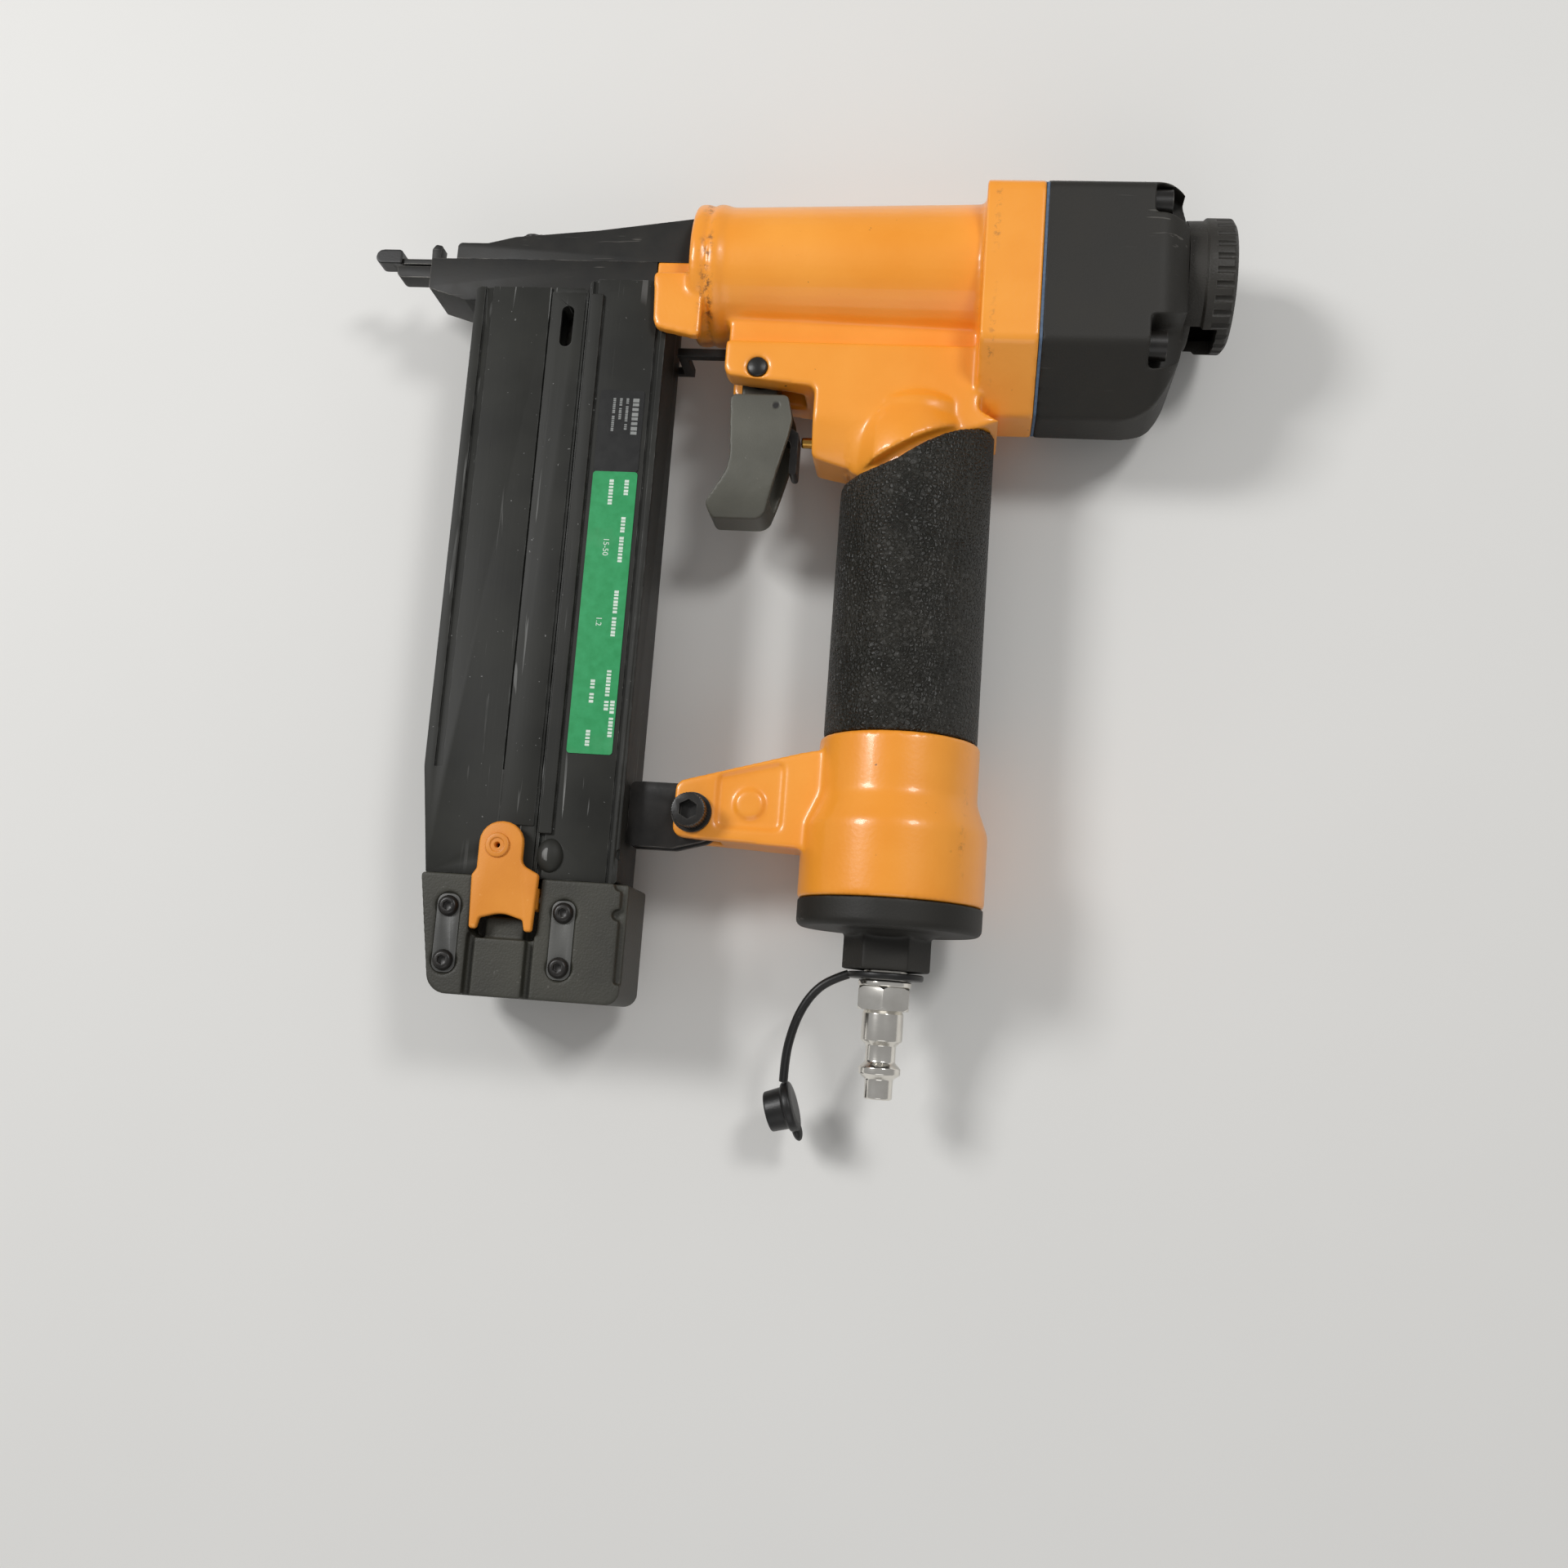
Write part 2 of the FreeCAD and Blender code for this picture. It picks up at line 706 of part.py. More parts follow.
def housing_cuts(item):
    turned(item, [(-S.barrel_bore_front, 0), (-S.barrel_bore_front, S.barrel_bore_radius),
                  (JOINT, S.barrel_bore_radius), (JOINT, 0)], "Groove")
    turned(item, [(HANDLE, -S.barrel_bore_radius), (HANDLE + S.air_passage_radius,
                                                    -S.barrel_bore_radius),
                  (HANDLE + S.air_passage_radius, -S.passage_bottom),
                  (HANDLE + S.core_bore_radius, -S.core_bore_top),
                  (HANDLE + S.core_bore_radius, -S.tank_bore_top + 6),
                  (HANDLE + S.tank_bore_radius, -S.tank_bore_top - 3),
                  (HANDLE + S.tank_bore_radius, -S.tank_bottom), (HANDLE, -S.tank_bottom)],
           "Groove", about_y=HANDLE)
    blade = [(-S.driver_half_height - GAP, -S.driver_half_width - GAP),
             (-S.driver_half_height - GAP, S.driver_half_width + GAP),
             (S.driver_half_height + GAP, S.driver_half_width + GAP),
             (S.driver_half_height + GAP, -S.driver_half_width - GAP)]
    pocket(item, draw(item, "YZ_Plane", [blade], at=-S.barrel_bore_front + 1, name="Blade"), 20)
    holes = [(y, z, S.cap_screw_radius) for y, z in CAP_SCREWS]
    pocket(item, draw(item, "YZ_Plane", circles=holes, at=JOINT, name="CapScrews"),
           S.cap_screw_depth + 1)
    valve = [(-S.valve_height, 0, S.valve_radius)]
    pocket(item, draw(item, "YZ_Plane", circles=valve, at=S.valve_length - S.valve_wall + 4,
                      name="Valve"), S.valve_length + 10)
    slot = [(-S.web_front - 3, -S.link_drop + SLIDE), (-S.valve_wall - 4, -S.link_drop + SLIDE),
            (-S.valve_wall - 4, -S.trigger_top - 2), (-S.web_front - 3, -S.trigger_top - 2)]
    pocket(item, draw(item, "XY_Plane", [slot], name="TriggerSlot"),
           (S.ear_half_width + SLIDE) * 2, True)
    holes = [(-S.trigger_pivot, -S.trigger_pivot_drop, S.trigger_pin_radius),
             (-S.bolt_forward, -S.bolt_drop, S.bolt_radius + GAP)]
    pocket(item, draw(item, "XY_Plane", circles=holes, name="PinHoles"), 60, True)
    holes = [(x, z, S.nose_screw_radius) for x, z in nose_screw_sides(S.nose_screw_rear)]
    pocket(item, draw(item, "XZ_Plane", circles=holes, at=-1, name="NoseScrews"),
           S.nose_screw_depth + 1, forward=True)
    ear_end = -S.bolt_forward + S.bracket_ear_radius + 1
    fork = [(-S.arm_front - 1, -S.arm_root_top), (ear_end, -S.arm_root_top),
            (ear_end, -S.arm_bottom - 3), (-S.arm_front - 1, -S.arm_bottom - 3)]
    pocket(item, draw(item, "XY_Plane", [fork], name="Fork"), (S.bracket_half_width + GAP) * 2,
           True)
    recess = [(-S.arm_recess_front, -S.arm_recess_front_top, 2),
              (-S.arm_recess_rear, -S.arm_recess_rear_top, 2),
              (-S.arm_recess_rear, -S.arm_bottom + 3, 2), (-S.arm_recess_front,
                                                          -S.arm_bottom + 3, 2)]
    boss = [(-(S.arm_recess_front + S.arm_recess_rear) / 2, -S.arm_boss_drop, S.arm_boss_radius)]
    depth = S.arm_half_width - S.arm_recess_depth
    pocket(item, draw(item, "XY_Plane", [recess], boss, depth, "Recess"),
           S.arm_recess_depth + 1, forward=True)
    pocket(item, draw(item, "XY_Plane", [recess], boss, -depth, "RecessBelow"),
           S.arm_recess_depth + 1)


# ---------------------------------------------------------------- head cap and knob

def head_gasket():
    item = body()
    bore = [(0, 0, CAVITY_RADIUS)] + [(y, z, S.cap_screw_radius) for y, z in CAP_SCREWS]
    pad(item, draw(item, "YZ_Plane", [head_outline(0.4)], bore, JOINT), S.gasket_thickness)
    return node(item, "head_gasket")


def head_cap():
    item = body()
    pad(item, draw(item, "YZ_Plane", [head_outline()], at=CAP_FRONT), S.cap_rear - CAP_FRONT)
    side = [(CAP_FRONT - 1, -S.head_bottom - 1), (CAP_FRONT - 1, S.head_top + 1),
            (S.cap_step, S.head_top + 1), (S.cap_step, S.cap_step_height, 2),
            (S.cap_rear, S.cap_step_height - 3.5, S.cap_shoulder_radius),
            (S.cap_rear, -S.head_bottom, S.cap_heel_radius),
            (S.cap_rear - S.cap_heel_radius - 3, -S.head_bottom),
            (S.cap_rear - S.cap_heel_radius - 5, -S.head_bottom - 1)]
    frame = [(CAP_FRONT - 9, -70), (CAP_FRONT - 9, 50), (S.cap_rear + 9, 50),
             (S.cap_rear + 9, -70)]
    pocket(item, draw(item, "XY_Plane", [frame, side], name="SideProfile"), 80, True)
    turned(item, [(CAP_FRONT, 0), (CAP_FRONT, CAVITY_RADIUS),
                  (S.cap_cavity_depth, CAVITY_RADIUS, 3), (S.cap_cavity_depth, 0)], "Groove")
    room = S.cap_screw_head_radius + 0.6
    for y, z, spread in ((S.upper_screw_height, UPPER_SCREW_SIDE, room),
                         (-S.lower_screw_drop, LOWER_SCREW_SIDE, room + 1.8)):
        notch = [(y - spread, z - room, 2), (y - spread, 28), (y + spread, 28),
                 (y + spread, z - room, 2)]
        mirror = [(point[0], -point[1], *point[2:]) for point in notch]
        pocket(item, draw(item, "YZ_Plane", [notch, mirror], at=S.cap_screw_seat,
                          name="ScrewNotch"), 20, forward=True)
    holes = [(y, z, S.cap_screw_radius) for y, z in CAP_SCREWS]
    pocket(item, draw(item, "YZ_Plane", circles=holes, at=S.cap_screw_seat + 1,
                      name="CapScrews"), 40)
    ports = [(-S.exhaust_port_circle, 0, S.exhaust_port_radius),
             (0, S.exhaust_port_circle, S.exhaust_port_radius),
             (0, -S.exhaust_port_circle, S.exhaust_port_radius),
             (0, 0, S.knob_screw_radius)]
    pocket(item, draw(item, "YZ_Plane", circles=ports, at=S.cap_rear + 1, name="Ports"),
           S.cap_rear - S.cap_cavity_depth + 3)
    return node(item, "head_cap")


def cap_screws():
    seats = [(S.cap_screw_seat, y, z) for y, z in CAP_SCREWS]
    reach = S.cap_screw_seat - JOINT + S.cap_screw_depth
    return node(screws(seats, TO_X, (S.cap_screw_head_radius, S.cap_screw_head_length),
                       (S.cap_screw_radius, reach), S.cap_screw_radius * 1.6), "cap_screws")


KNOB_FRONT = S.cap_rear + SLIDE


def exhaust_deflector():
    item = body()
    turned(item, [(KNOB_FRONT, 0), (KNOB_FRONT, S.knob_neck_radius),
                  (S.knob_neck_end, S.knob_neck_radius), (S.knob_neck_end, S.knob_radius, 0.8),
                  (S.knob_end, S.knob_radius, S.knob_edge_radius), (S.knob_end, 0)])
    inner = S.knob_neck_radius - S.knob_wall
    turned(item, [(KNOB_FRONT, S.knob_screw_head_radius + 2), (KNOB_FRONT, inner),
                  (S.knob_end - S.knob_wall, inner, 2),
                  (S.knob_end - S.knob_wall, S.knob_screw_head_radius + 2)], "Groove")
    recess = S.knob_end - S.knob_recess_depth
    turned(item, [(recess, 0), (recess, S.knob_screw_head_radius + GAP),
                  (S.knob_end, S.knob_screw_head_radius + GAP), (S.knob_end, 0)], "Groove")
    turned(item, [(KNOB_FRONT, 0), (KNOB_FRONT, S.knob_screw_radius + S.pin_gap),
                  (recess, S.knob_screw_radius + S.pin_gap), (recess, 0)], "Groove")
    half = S.knob_port_width / 2
    port = [(KNOB_FRONT + 2, half * -1), (KNOB_FRONT + 2, half), (S.knob_end - 4, half),
            (S.knob_end - 4, half * -1)]
    pocket(item, draw(item, "XZ_Plane", [port], at=inner - 3, name="Port"), 20, forward=True)
    return node(item, "exhaust_deflector")


def deflector_screw():
    seat = S.knob_end - S.knob_recess_depth
    reach = seat - S.cap_cavity_depth - 1
    return node(screws([(seat + GAP, 0, 0)], TO_X,
                       (S.knob_screw_head_radius, S.knob_screw_head_length),
                       (S.knob_screw_radius, reach), S.knob_screw_radius * 2),
                "deflector_screw")


# ---------------------------------------------------------------- cylinder, piston and valve

def cylinder_sleeve():
    item = body()
    outer, inner = S.sleeve_outer_radius, S.sleeve_inner_radius
    flange = S.barrel_bore_radius - GAP / 2
    front = -S.barrel_bore_front
    turned(item, [(front, inner), (front, flange), (front + S.sleeve_flange_length, flange),
                  (front + S.sleeve_flange_length, outer),
                  (-S.sleeve_rear - S.sleeve_flange_length, outer),
                  (-S.sleeve_rear - S.sleeve_flange_length, flange), (-S.sleeve_rear, flange),
                  (-S.sleeve_rear, inner)])
    return node(item, "cylinder_sleeve")


def cylinder_o_rings():
    wire = (S.barrel_bore_radius - S.sleeve_outer_radius) / 2 - 0.01
    middle = (S.barrel_bore_radius + S.sleeve_outer_radius) / 2
    places = (-S.barrel_bore_front + 9, -S.sleeve_rear - 9)
    rings = [torus(middle, wire, x, 0, 0, TO_X) for x in places]
    return node(joined(*rings), "cylinder_o_rings")


def bumper():
    item = body()
    front = -S.barrel_bore_front
    turned(item, [(front, S.bumper_hole_radius),
                  (front, S.sleeve_inner_radius - GAP / 2),
                  (front + S.bumper_length, S.sleeve_inner_radius - GAP / 2, 2),
                  (front + S.bumper_length, S.bumper_hole_radius, 2)])
    return node(item, "bumper")


def piston():
    item = body()
    radius = S.sleeve_inner_radius - S.pin_gap
    rear = -S.piston_rear - S.sleeve_rear
    front = rear - S.piston_length
    middle = (front + rear) / 2
    half = S.piston_groove_width / 2
    turned(item, [(front, 0), (front, radius, 0.6), (middle - half, radius),
                  (middle - half, radius - S.piston_groove_depth),
                  (middle + half, radius - S.piston_groove_depth), (middle + half, radius),
                  (rear, radius, 0.6), (rear, 0)])
    return node(item, "piston")


def piston_o_ring():
    wire = S.piston_groove_depth / 2 - 0.02
    radius = S.sleeve_inner_radius - S.pin_gap - S.piston_groove_depth / 2
    middle = -S.piston_rear - S.sleeve_rear - S.piston_length / 2
    return node(torus(radius, wire, middle, 0, 0, TO_X), "piston_o_ring")


def driver_blade():
    rear = -S.piston_rear - S.sleeve_rear - S.piston_length
    return node(box((-S.driver_reach, rear), (-S.driver_half_height, S.driver_half_height),
                    (-S.driver_half_width, S.driver_half_width)), "driver_blade")


def head_valve():
    item = body()
    front = -S.sleeve_rear + GAP
    rim = S.barrel_bore_radius - S.pin_gap
    face = CAP_FRONT + 3
    turned(item, [(front, S.head_valve_hole_radius), (front, rim), (face, rim),
                  (face, S.head_valve_lip_radius),
                  (front + S.head_valve_length + S.head_valve_lip_length,
                   S.head_valve_lip_radius),
                  (front + S.head_valve_length + S.head_valve_lip_length,
                   S.head_valve_hole_radius)])
    return node(item, "head_valve")


def head_valve_spring():
    start = CAP_FRONT + 3
    return node(wide_spring(S.head_valve_lip_radius + 2, 0.7, S.cap_cavity_depth - start - GAP,
                       4, start + GAP / 2, 0, 0, TO_X), "head_valve_spring")


# ---------------------------------------------------------------- trigger and its valve

def trigger_valve_body():
    item = body()
    front, rear = -S.valve_wall, S.valve_length - S.valve_wall
    outer = S.valve_radius - GAP / 2
    bore = S.stem_radius + S.pin_gap
    turned(item, [(front, bore), (front, outer, 0.8), (rear, outer), (rear, bore),
                  (rear - 2, bore), (rear - 2, S.stem_head_radius + GAP),
                  (front + 3, S.stem_head_radius + GAP), (front + 3, bore)])
    move(item, 0, -S.valve_height, 0)
    return node(item, "trigger_valve_body")


def valve_stem():
    item = body()
    front = -S.valve_wall - S.stem_reach
    shoulder = -S.valve_wall + 3.2
    rear = S.valve_length - S.valve_wall + 0.5
    turned(item, [(front, 0), (front, S.stem_radius, 0.6), (shoulder, S.stem_radius),
                  (shoulder, S.stem_head_radius), (shoulder + 3, S.stem_head_radius),
                  (shoulder + 3, S.stem_radius), (rear, S.stem_radius), (rear, 0)])
    move(item, 0, -S.valve_height, 0)
    return node(item, "valve_stem")


def valve_spring():
    start = -S.valve_wall + 6.3
    end = S.valve_length - S.valve_wall - 2
    radius = (S.stem_radius + S.stem_head_radius) / 2
    return node(spring(radius, 0.4, end - start - GAP, 4, start + GAP / 2, -S.valve_height, 0,
                       TO_X), "valve_spring")


def trigger_pin():
    return node(cylinder(S.trigger_pin_radius, (S.web_half_width + 0.4) * 2, -S.trigger_pivot,
                         -S.trigger_pivot_drop, -S.web_half_width - 0.4), "trigger_pin")


def trigger():
    item = body()
    front, top, low = -S.trigger_front, -S.trigger_top, -S.trigger_bottom
    shell = [(front - 1, top, 2), (front + 0.5, low + 15, 14), (-S.trigger_tip, low + 4, 2),
             (-S.trigger_tip + 2, low, 2), (-79.2, low, 4), (-73, low + 25, 12),
             (-72.2, low + 30, 6), (-74, top, 2)]
    pad(item, draw(item, "XY_Plane", [shell], name="Shell"), S.trigger_half_width * 2, True)
    ear = [(-S.trigger_pivot - S.ear_radius, top - 3), (-S.trigger_pivot - S.ear_radius,
                                                       -S.trigger_pivot_drop + 5, 4),
           (-S.trigger_pivot + S.ear_radius, -S.trigger_pivot_drop + 5, 4),
           (-S.trigger_pivot + S.ear_radius, top - 3)]
    pad(item, draw(item, "XY_Plane", [ear], name="Ear"), S.ear_half_width * 2, True)
    roof = top - S.trigger_roof
    channel = [(front + S.trigger_wall + 1, roof, 2),
               (front + S.trigger_wall + 2, low + 15, 12),
               (front + S.trigger_wall, low + 6, 2), (-66, low + 6), (-66, roof)]
    inner = S.trigger_half_width - S.trigger_wall
    pocket(item, draw(item, "XY_Plane", [channel], name="Channel"), inner * 2, True)
    holes = [(-S.trigger_pivot, -S.trigger_pivot_drop, S.trigger_pin_radius + S.pin_gap),
             (-S.lever_pivot, -S.lever_pivot_drop, S.lever_pin_radius)]
    pocket(item, draw(item, "XY_Plane", circles=holes, name="Holes"), 60, True)
    return node(item, "trigger")


def lever_pin():
    reach = S.trigger_half_width - 0.2
    return node(cylinder(S.lever_pin_radius, reach * 2, -S.lever_pivot, -S.lever_pivot_drop,
                         -reach), "lever_pin")


def trigger_lever():
    item = body()
    x, y = -S.lever_pivot, -S.lever_pivot_drop
    half = S.lever_thickness / 2
    eye = S.lever_pin_radius + 1.1
    foot = -S.valve_wall - S.stem_reach - 0.6 - half
    outline = [(x - eye, y + eye, 2), (x + eye, y + eye, 2), (x + eye, y - 3, 1),
               (foot + half, y - 6, 1), (foot + half, y - S.lever_length, 1),
               (foot - half, y - S.lever_length, 1), (foot - half, y - 9, 2),
               (x - eye, y - 4, 2)]
    pad(item, draw(item, "XY_Plane", [outline]), S.lever_half_width * 2, True)
    hole = [(x, y, S.lever_pin_radius + S.pin_gap)]
    pocket(item, draw(item, "XY_Plane", circles=hole, name="Eye"), 20, True)
    return node(item, "trigger_lever")


# ---------------------------------------------------------------- grip, tank end and air plug

def grip_sleeve():
    item = body()
    inner, outer = S.core_radius + GAP / 2, S.grip_radius
    turned(item, [(HANDLE + inner, -46), (HANDLE + outer, -46),
                  (HANDLE + outer, -S.grip_bottom), (HANDLE + inner, -S.grip_bottom)],
           about_y=HANDLE)
    edge = grip_edge(S.seat_gap)
    above = [(-70, -40), (-70, -69), *edge, (0, -48), (0, -40)]
    pocket(item, draw(item, "XY_Plane", [above], name="UpperEdge"), 60, True)
    return node(item, "grip_sleeve")


def tank_end_cap():
    item = body()
    top = -S.tank_bottom - GAP
    low = top - S.end_cap_thickness
    bore = S.plug_thread_radius + GAP / 2
    spigot = S.tank_bore_radius - GAP
    turned(item, [(HANDLE + bore, top + S.spigot_length), (HANDLE + spigot, top + S.spigot_length),
                  (HANDLE + spigot, top), (HANDLE + END_CAP_RADIUS, top),
                  (HANDLE + END_CAP_RADIUS, low, 2), (HANDLE + S.end_cap_neck_radius, low),
                  (HANDLE + S.end_cap_neck_radius - 3, -S.end_cap_hex_top - 0.5),
                  (HANDLE + bore, -S.end_cap_hex_top - 0.5)], about_y=HANDLE)
    flats = S.end_cap_hex_flats / 2
    across = S.end_cap_hex_flats / 1.7320508
    hexagon_points = [(HANDLE - across, 0), (HANDLE - across / 2, flats * -1),
                      (HANDLE + across / 2, flats * -1), (HANDLE + across, 0),
                      (HANDLE + across / 2, flats), (HANDLE - across / 2, flats)]
    pad(item, draw(item, "XZ_Plane", [hexagon_points], [(HANDLE, 0, bore)],
                   S.end_cap_hex_top, "Hex"), S.end_cap_hex_bottom - S.end_cap_hex_top)
    return node(item, "tank_end_cap")


def end_cap_o_ring():
    wire = 1.4
    y = -S.tank_bottom + S.spigot_length - GAP + wire
    return node(torus(S.tank_bore_radius - wire - GAP / 2, wire, HANDLE, y, 0, TO_Y),
                "end_cap_o_ring")


def air_plug():
    item = body()
    shank, neck, nose = S.plug_shank_radius, S.plug_neck_radius, S.plug_nose_radius
    bore = S.plug_bore_radius
    profile = [(bore, S.plug_thread_top), (S.plug_thread_radius, S.plug_thread_top),
               (S.plug_thread_radius, S.end_cap_hex_bottom + S.tether_ring_height + 1),
               (S.plug_collar_radius, S.end_cap_hex_bottom + S.tether_ring_height + 1),
               (S.plug_collar_radius, S.plug_hex_top + 0.5),
               (shank, S.plug_hex_top + 0.5), (shank, S.plug_shank_bottom),
               (neck, S.plug_shank_bottom + 2), (neck, S.plug_neck_bottom - 2),
               (shank, S.plug_neck_bottom), (shank, S.plug_collar_bottom),
               (nose, S.plug_collar_bottom + 1.2), (nose, S.plug_bottom), (bore, S.plug_bottom)]
    turned(item, [(HANDLE + radius, -drop) for radius, drop in profile], about_y=HANDLE)
    flats, across = S.plug_hex_flats / 2, S.plug_hex_flats / 1.7320508
    points = [(HANDLE - flats, across / 2), (HANDLE, across), (HANDLE + flats, across / 2),
              (HANDLE + flats, across / -2), (HANDLE, across * -1), (HANDLE - flats, across / -2)]
    pad(item, draw(item, "XZ_Plane", [points], [(HANDLE, 0, bore)], S.plug_hex_top, "Hex"),
        S.plug_hex_bottom - S.plug_hex_top)
    return node(item, "air_plug")


def tether_ring():
    top = -S.end_cap_hex_bottom - 0.5
    ring = cylinder(S.tether_ring_radius, S.tether_ring_height, HANDLE, top, 0, TO_MINUS_Y)
    hole = cylinder(S.plug_thread_radius + GAP, S.tether_ring_height + 2, HANDLE, top + 1, 0,
                    TO_MINUS_Y)
    return node(cut(ring, hole), "tether_ring")


# The strap's route, from the ring round the plug to the dust cap, chosen by hand.
STRAP_ROUTE = [(-45.2, -211.5, 0), (-50.6, -213.6, 0), (-55.2, -217.6, -0.6),
               (-58.6, -223.2, -1.6), (-60.8, -229.6, -3.2), (-62.2, -236.6, -5.4),
               (-62.4, -243.2, -7.2)]
DUST_CAP_AXIS = FreeCAD.Vector(-0.95, -0.3, -0.06)


def rounded_path(points):
    """Straight runs joined by tangent arcs that fit the shorter run at each bend."""
    places = [FreeCAD.Vector(*point) for point in points]
    edges, start = [], places[0]
    for before, here, after in zip(places, places[1:], places[2:]):
        run_in, run_out = (here - before), (after - here)
        turn = run_in.getAngle(run_out)
        radius = 0.45 * min(run_in.Length, run_out.Length) / math.tan(turn / 2)
        print(f"strap bend radius {radius:.1f} mm")
        first, last, centre = corner_points(before, here, after, radius)
        middle = centre + (here - centre).normalize() * radius
        edges += [Part.LineSegment(start, first).toShape(), Part.Arc(first, middle, last).toShape()]
        start = last
    edges.append(Part.LineSegment(start, places[-1]).toShape())
    return Part.Wire(edges)


def tether_strap():
    path = rounded_path(STRAP_ROUTE)
    start, ahead = (FreeCAD.Vector(*point) for point in STRAP_ROUTE[:2])
    ring = Part.Wire(Part.makeCircle(S.strap_radius.number, start, ahead - start))
    item = document.addObject("Part::Feature", "Strap")
    item.Shape = path.makePipeShell([ring], True, False)
    section = math.pi * S.strap_radius.number ** 2
    print(f"strap volume {item.Shape.Volume:.1f}, section x length {section * path.Length:.1f}")
    return node(item, "tether_strap")


def dust_cap():
    """The moulded cap on the strap's end: a flange and a cup turned on its own axis."""
    item = document.addObject("Part::Feature", "DustCap")
    axis = FreeCAD.Vector(DUST_CAP_AXIS).normalize()
    end = FreeCAD.Vector(*STRAP_ROUTE[-1])
    run = (end - FreeCAD.Vector(*STRAP_ROUTE[-2])).normalize()
    side = (run - axis * run.dot(axis)).normalize()
    centre = end + side * (S.dust_cap_radius.number + 0.5) - axis * 1.5
    flange = Part.makeCylinder(S.dust_cap_radius.number, S.dust_cap_flange.number, centre, axis)
    cup = Part.makeCylinder(S.dust_cap_cup_radius.number, S.dust_cap_length.number, centre, axis)
    inside = Part.makeCylinder(S.dust_cap_cup_radius.number - 1.6,
                               S.dust_cap_length.number - 2, centre, axis)
    item.Shape = flange.fuse(cup).cut(inside).removeSplitter()
    return node(item, "dust_cap")


# ---------------------------------------------------------------- nose

def channel(item, upward, length=260):
    """Cuts half of the driver's channel into the face at the driver's axis."""
    half = S.driver_half_width + GAP
    deep = (S.driver_half_height + GAP) * upward
    groove = [(deep, half * -1), (deep, half), (-upward, half), (-upward, half * -1)]
    pocket(item, draw(item, "YZ_Plane", [groove], name="Channel"), length)


def nose_screw_sides(x):
    return [(-x, z * S.nose_screw_side) for z in (1, -1)]


def driver_guide():
    item = body()
    drop = -S.guide_drop
    tip_rear = -S.guide_tip + S.guide_tip_length
    tip = [(-S.guide_tip, 0), (-S.guide_tip, -S.guide_tip_drop, 2), (tip_rear, -S.guide_tip_drop),
           (tip_rear, 0)]
    pad(item, draw(item, "XY_Plane", [tip], name="Tip"), S.guide_tip_half_width * 2, True)
    block = [(tip_rear, 0), (tip_rear, -S.guide_step_drop, 1), (-S.guide_step, drop, 2),
             (-S.lug_front - GAP, drop), (-S.lug_front - GAP, 0)]
    pad(item, draw(item, "XY_Plane", [block], name="Block"), S.plate_half_width * 2, True)
    channel(item, -1)
    feed = S.feed_half_height
    slot = [(-S.brad_head - S.brad_length - 0.7, feed * -1), (-S.brad_head + 0.3, feed * -1),
            (-S.brad_head + 0.3, feed), (-S.brad_head - S.brad_length - 0.7, feed)]
    pocket(item, draw(item, "XZ_Plane", [slot], at=-1, name="Feed"), 40, forward=True)
    holes = [(x, z, S.nose_screw_radius) for at in (S.nose_screw_front, S.nose_screw_middle)
             for x, z in nose_screw_sides(at)]
    pocket(item, draw(item, "XZ_Plane", circles=holes, at=-1, name="Screws"),
           S.nose_screw_depth + 1, forward=True)
    return node(item, "driver_guide")


def nose_front_plate():
    item = body()
    outline = [(-S.plate_front, 0), (-S.plate_front, S.plate_front_height, 1.5),
               (-S.plate_level_end, S.plate_front_height, 2),
               (-S.plate_step, S.plate_step_height, 1.5),
               (-S.plate_bend, S.plate_bend_height, 20),
               (-S.barrel_front - GAP, S.plate_rear_height, 1), (-S.barrel_front - GAP, 0)]
    pad(item, draw(item, "XY_Plane", [outline]), S.plate_half_width * 2, True)
    channel(item, 1)
    low, high = S.arm_low, S.arm_low + S.arm_plate_thickness
    half = S.arm_plate_half_width + GAP * 2
    track = [(low - 0.2, half * -1), (low - 0.2, half), (high + 0.2, half), (high + 0.2, half * -1)]
    track_rear = -S.arm_rear + S.contact_travel + SLIDE
    pocket(item, draw(item, "YZ_Plane", [track], at=track_rear, name="Track"), 90)
    well = [(-S.arm_rear - 3, low - 0.2), (-S.arm_rear - 3, S.arm_tab_height + SLIDE),
            (S.nose_spring_rear * -1, S.arm_tab_height + SLIDE),
            (S.nose_spring_rear * -1, low - 0.2)]
    pocket(item, draw(item, "XY_Plane", [well], name="SpringWell"),
           (S.arm_spring_radius + 0.5) * 2, True)
    side = [(-S.arm_rear - S.arm_wing_length - SLIDE, low - 0.2), (track_rear, low - 0.2),
            (track_rear, high + 0.2), (-S.arm_rear - S.arm_wing_length - SLIDE, high + 0.2)]
    pocket(item, draw(item, "XY_Plane", [side], at=-S.arm_plate_half_width, name="WingSlot"), 20)
    for at, seat in ((S.nose_screw_front, S.front_screw_seat), (S.nose_screw_middle,
                     S.rear_screw_seat), (S.nose_screw_rear, S.rear_screw_seat)):
        heads = [(x, z, S.nose_screw_head_radius + GAP) for x, z in nose_screw_sides(at)]
        shanks = [(x, z, S.nose_screw_radius) for x, z in nose_screw_sides(at)]
        pocket(item, draw(item, "XZ_Plane", circles=heads, at=-seat, name="Seats"), 20)
        pocket(item, draw(item, "XZ_Plane", circles=shanks, at=1, name="Shanks"), 20)
    return node(item, "nose_front_plate")


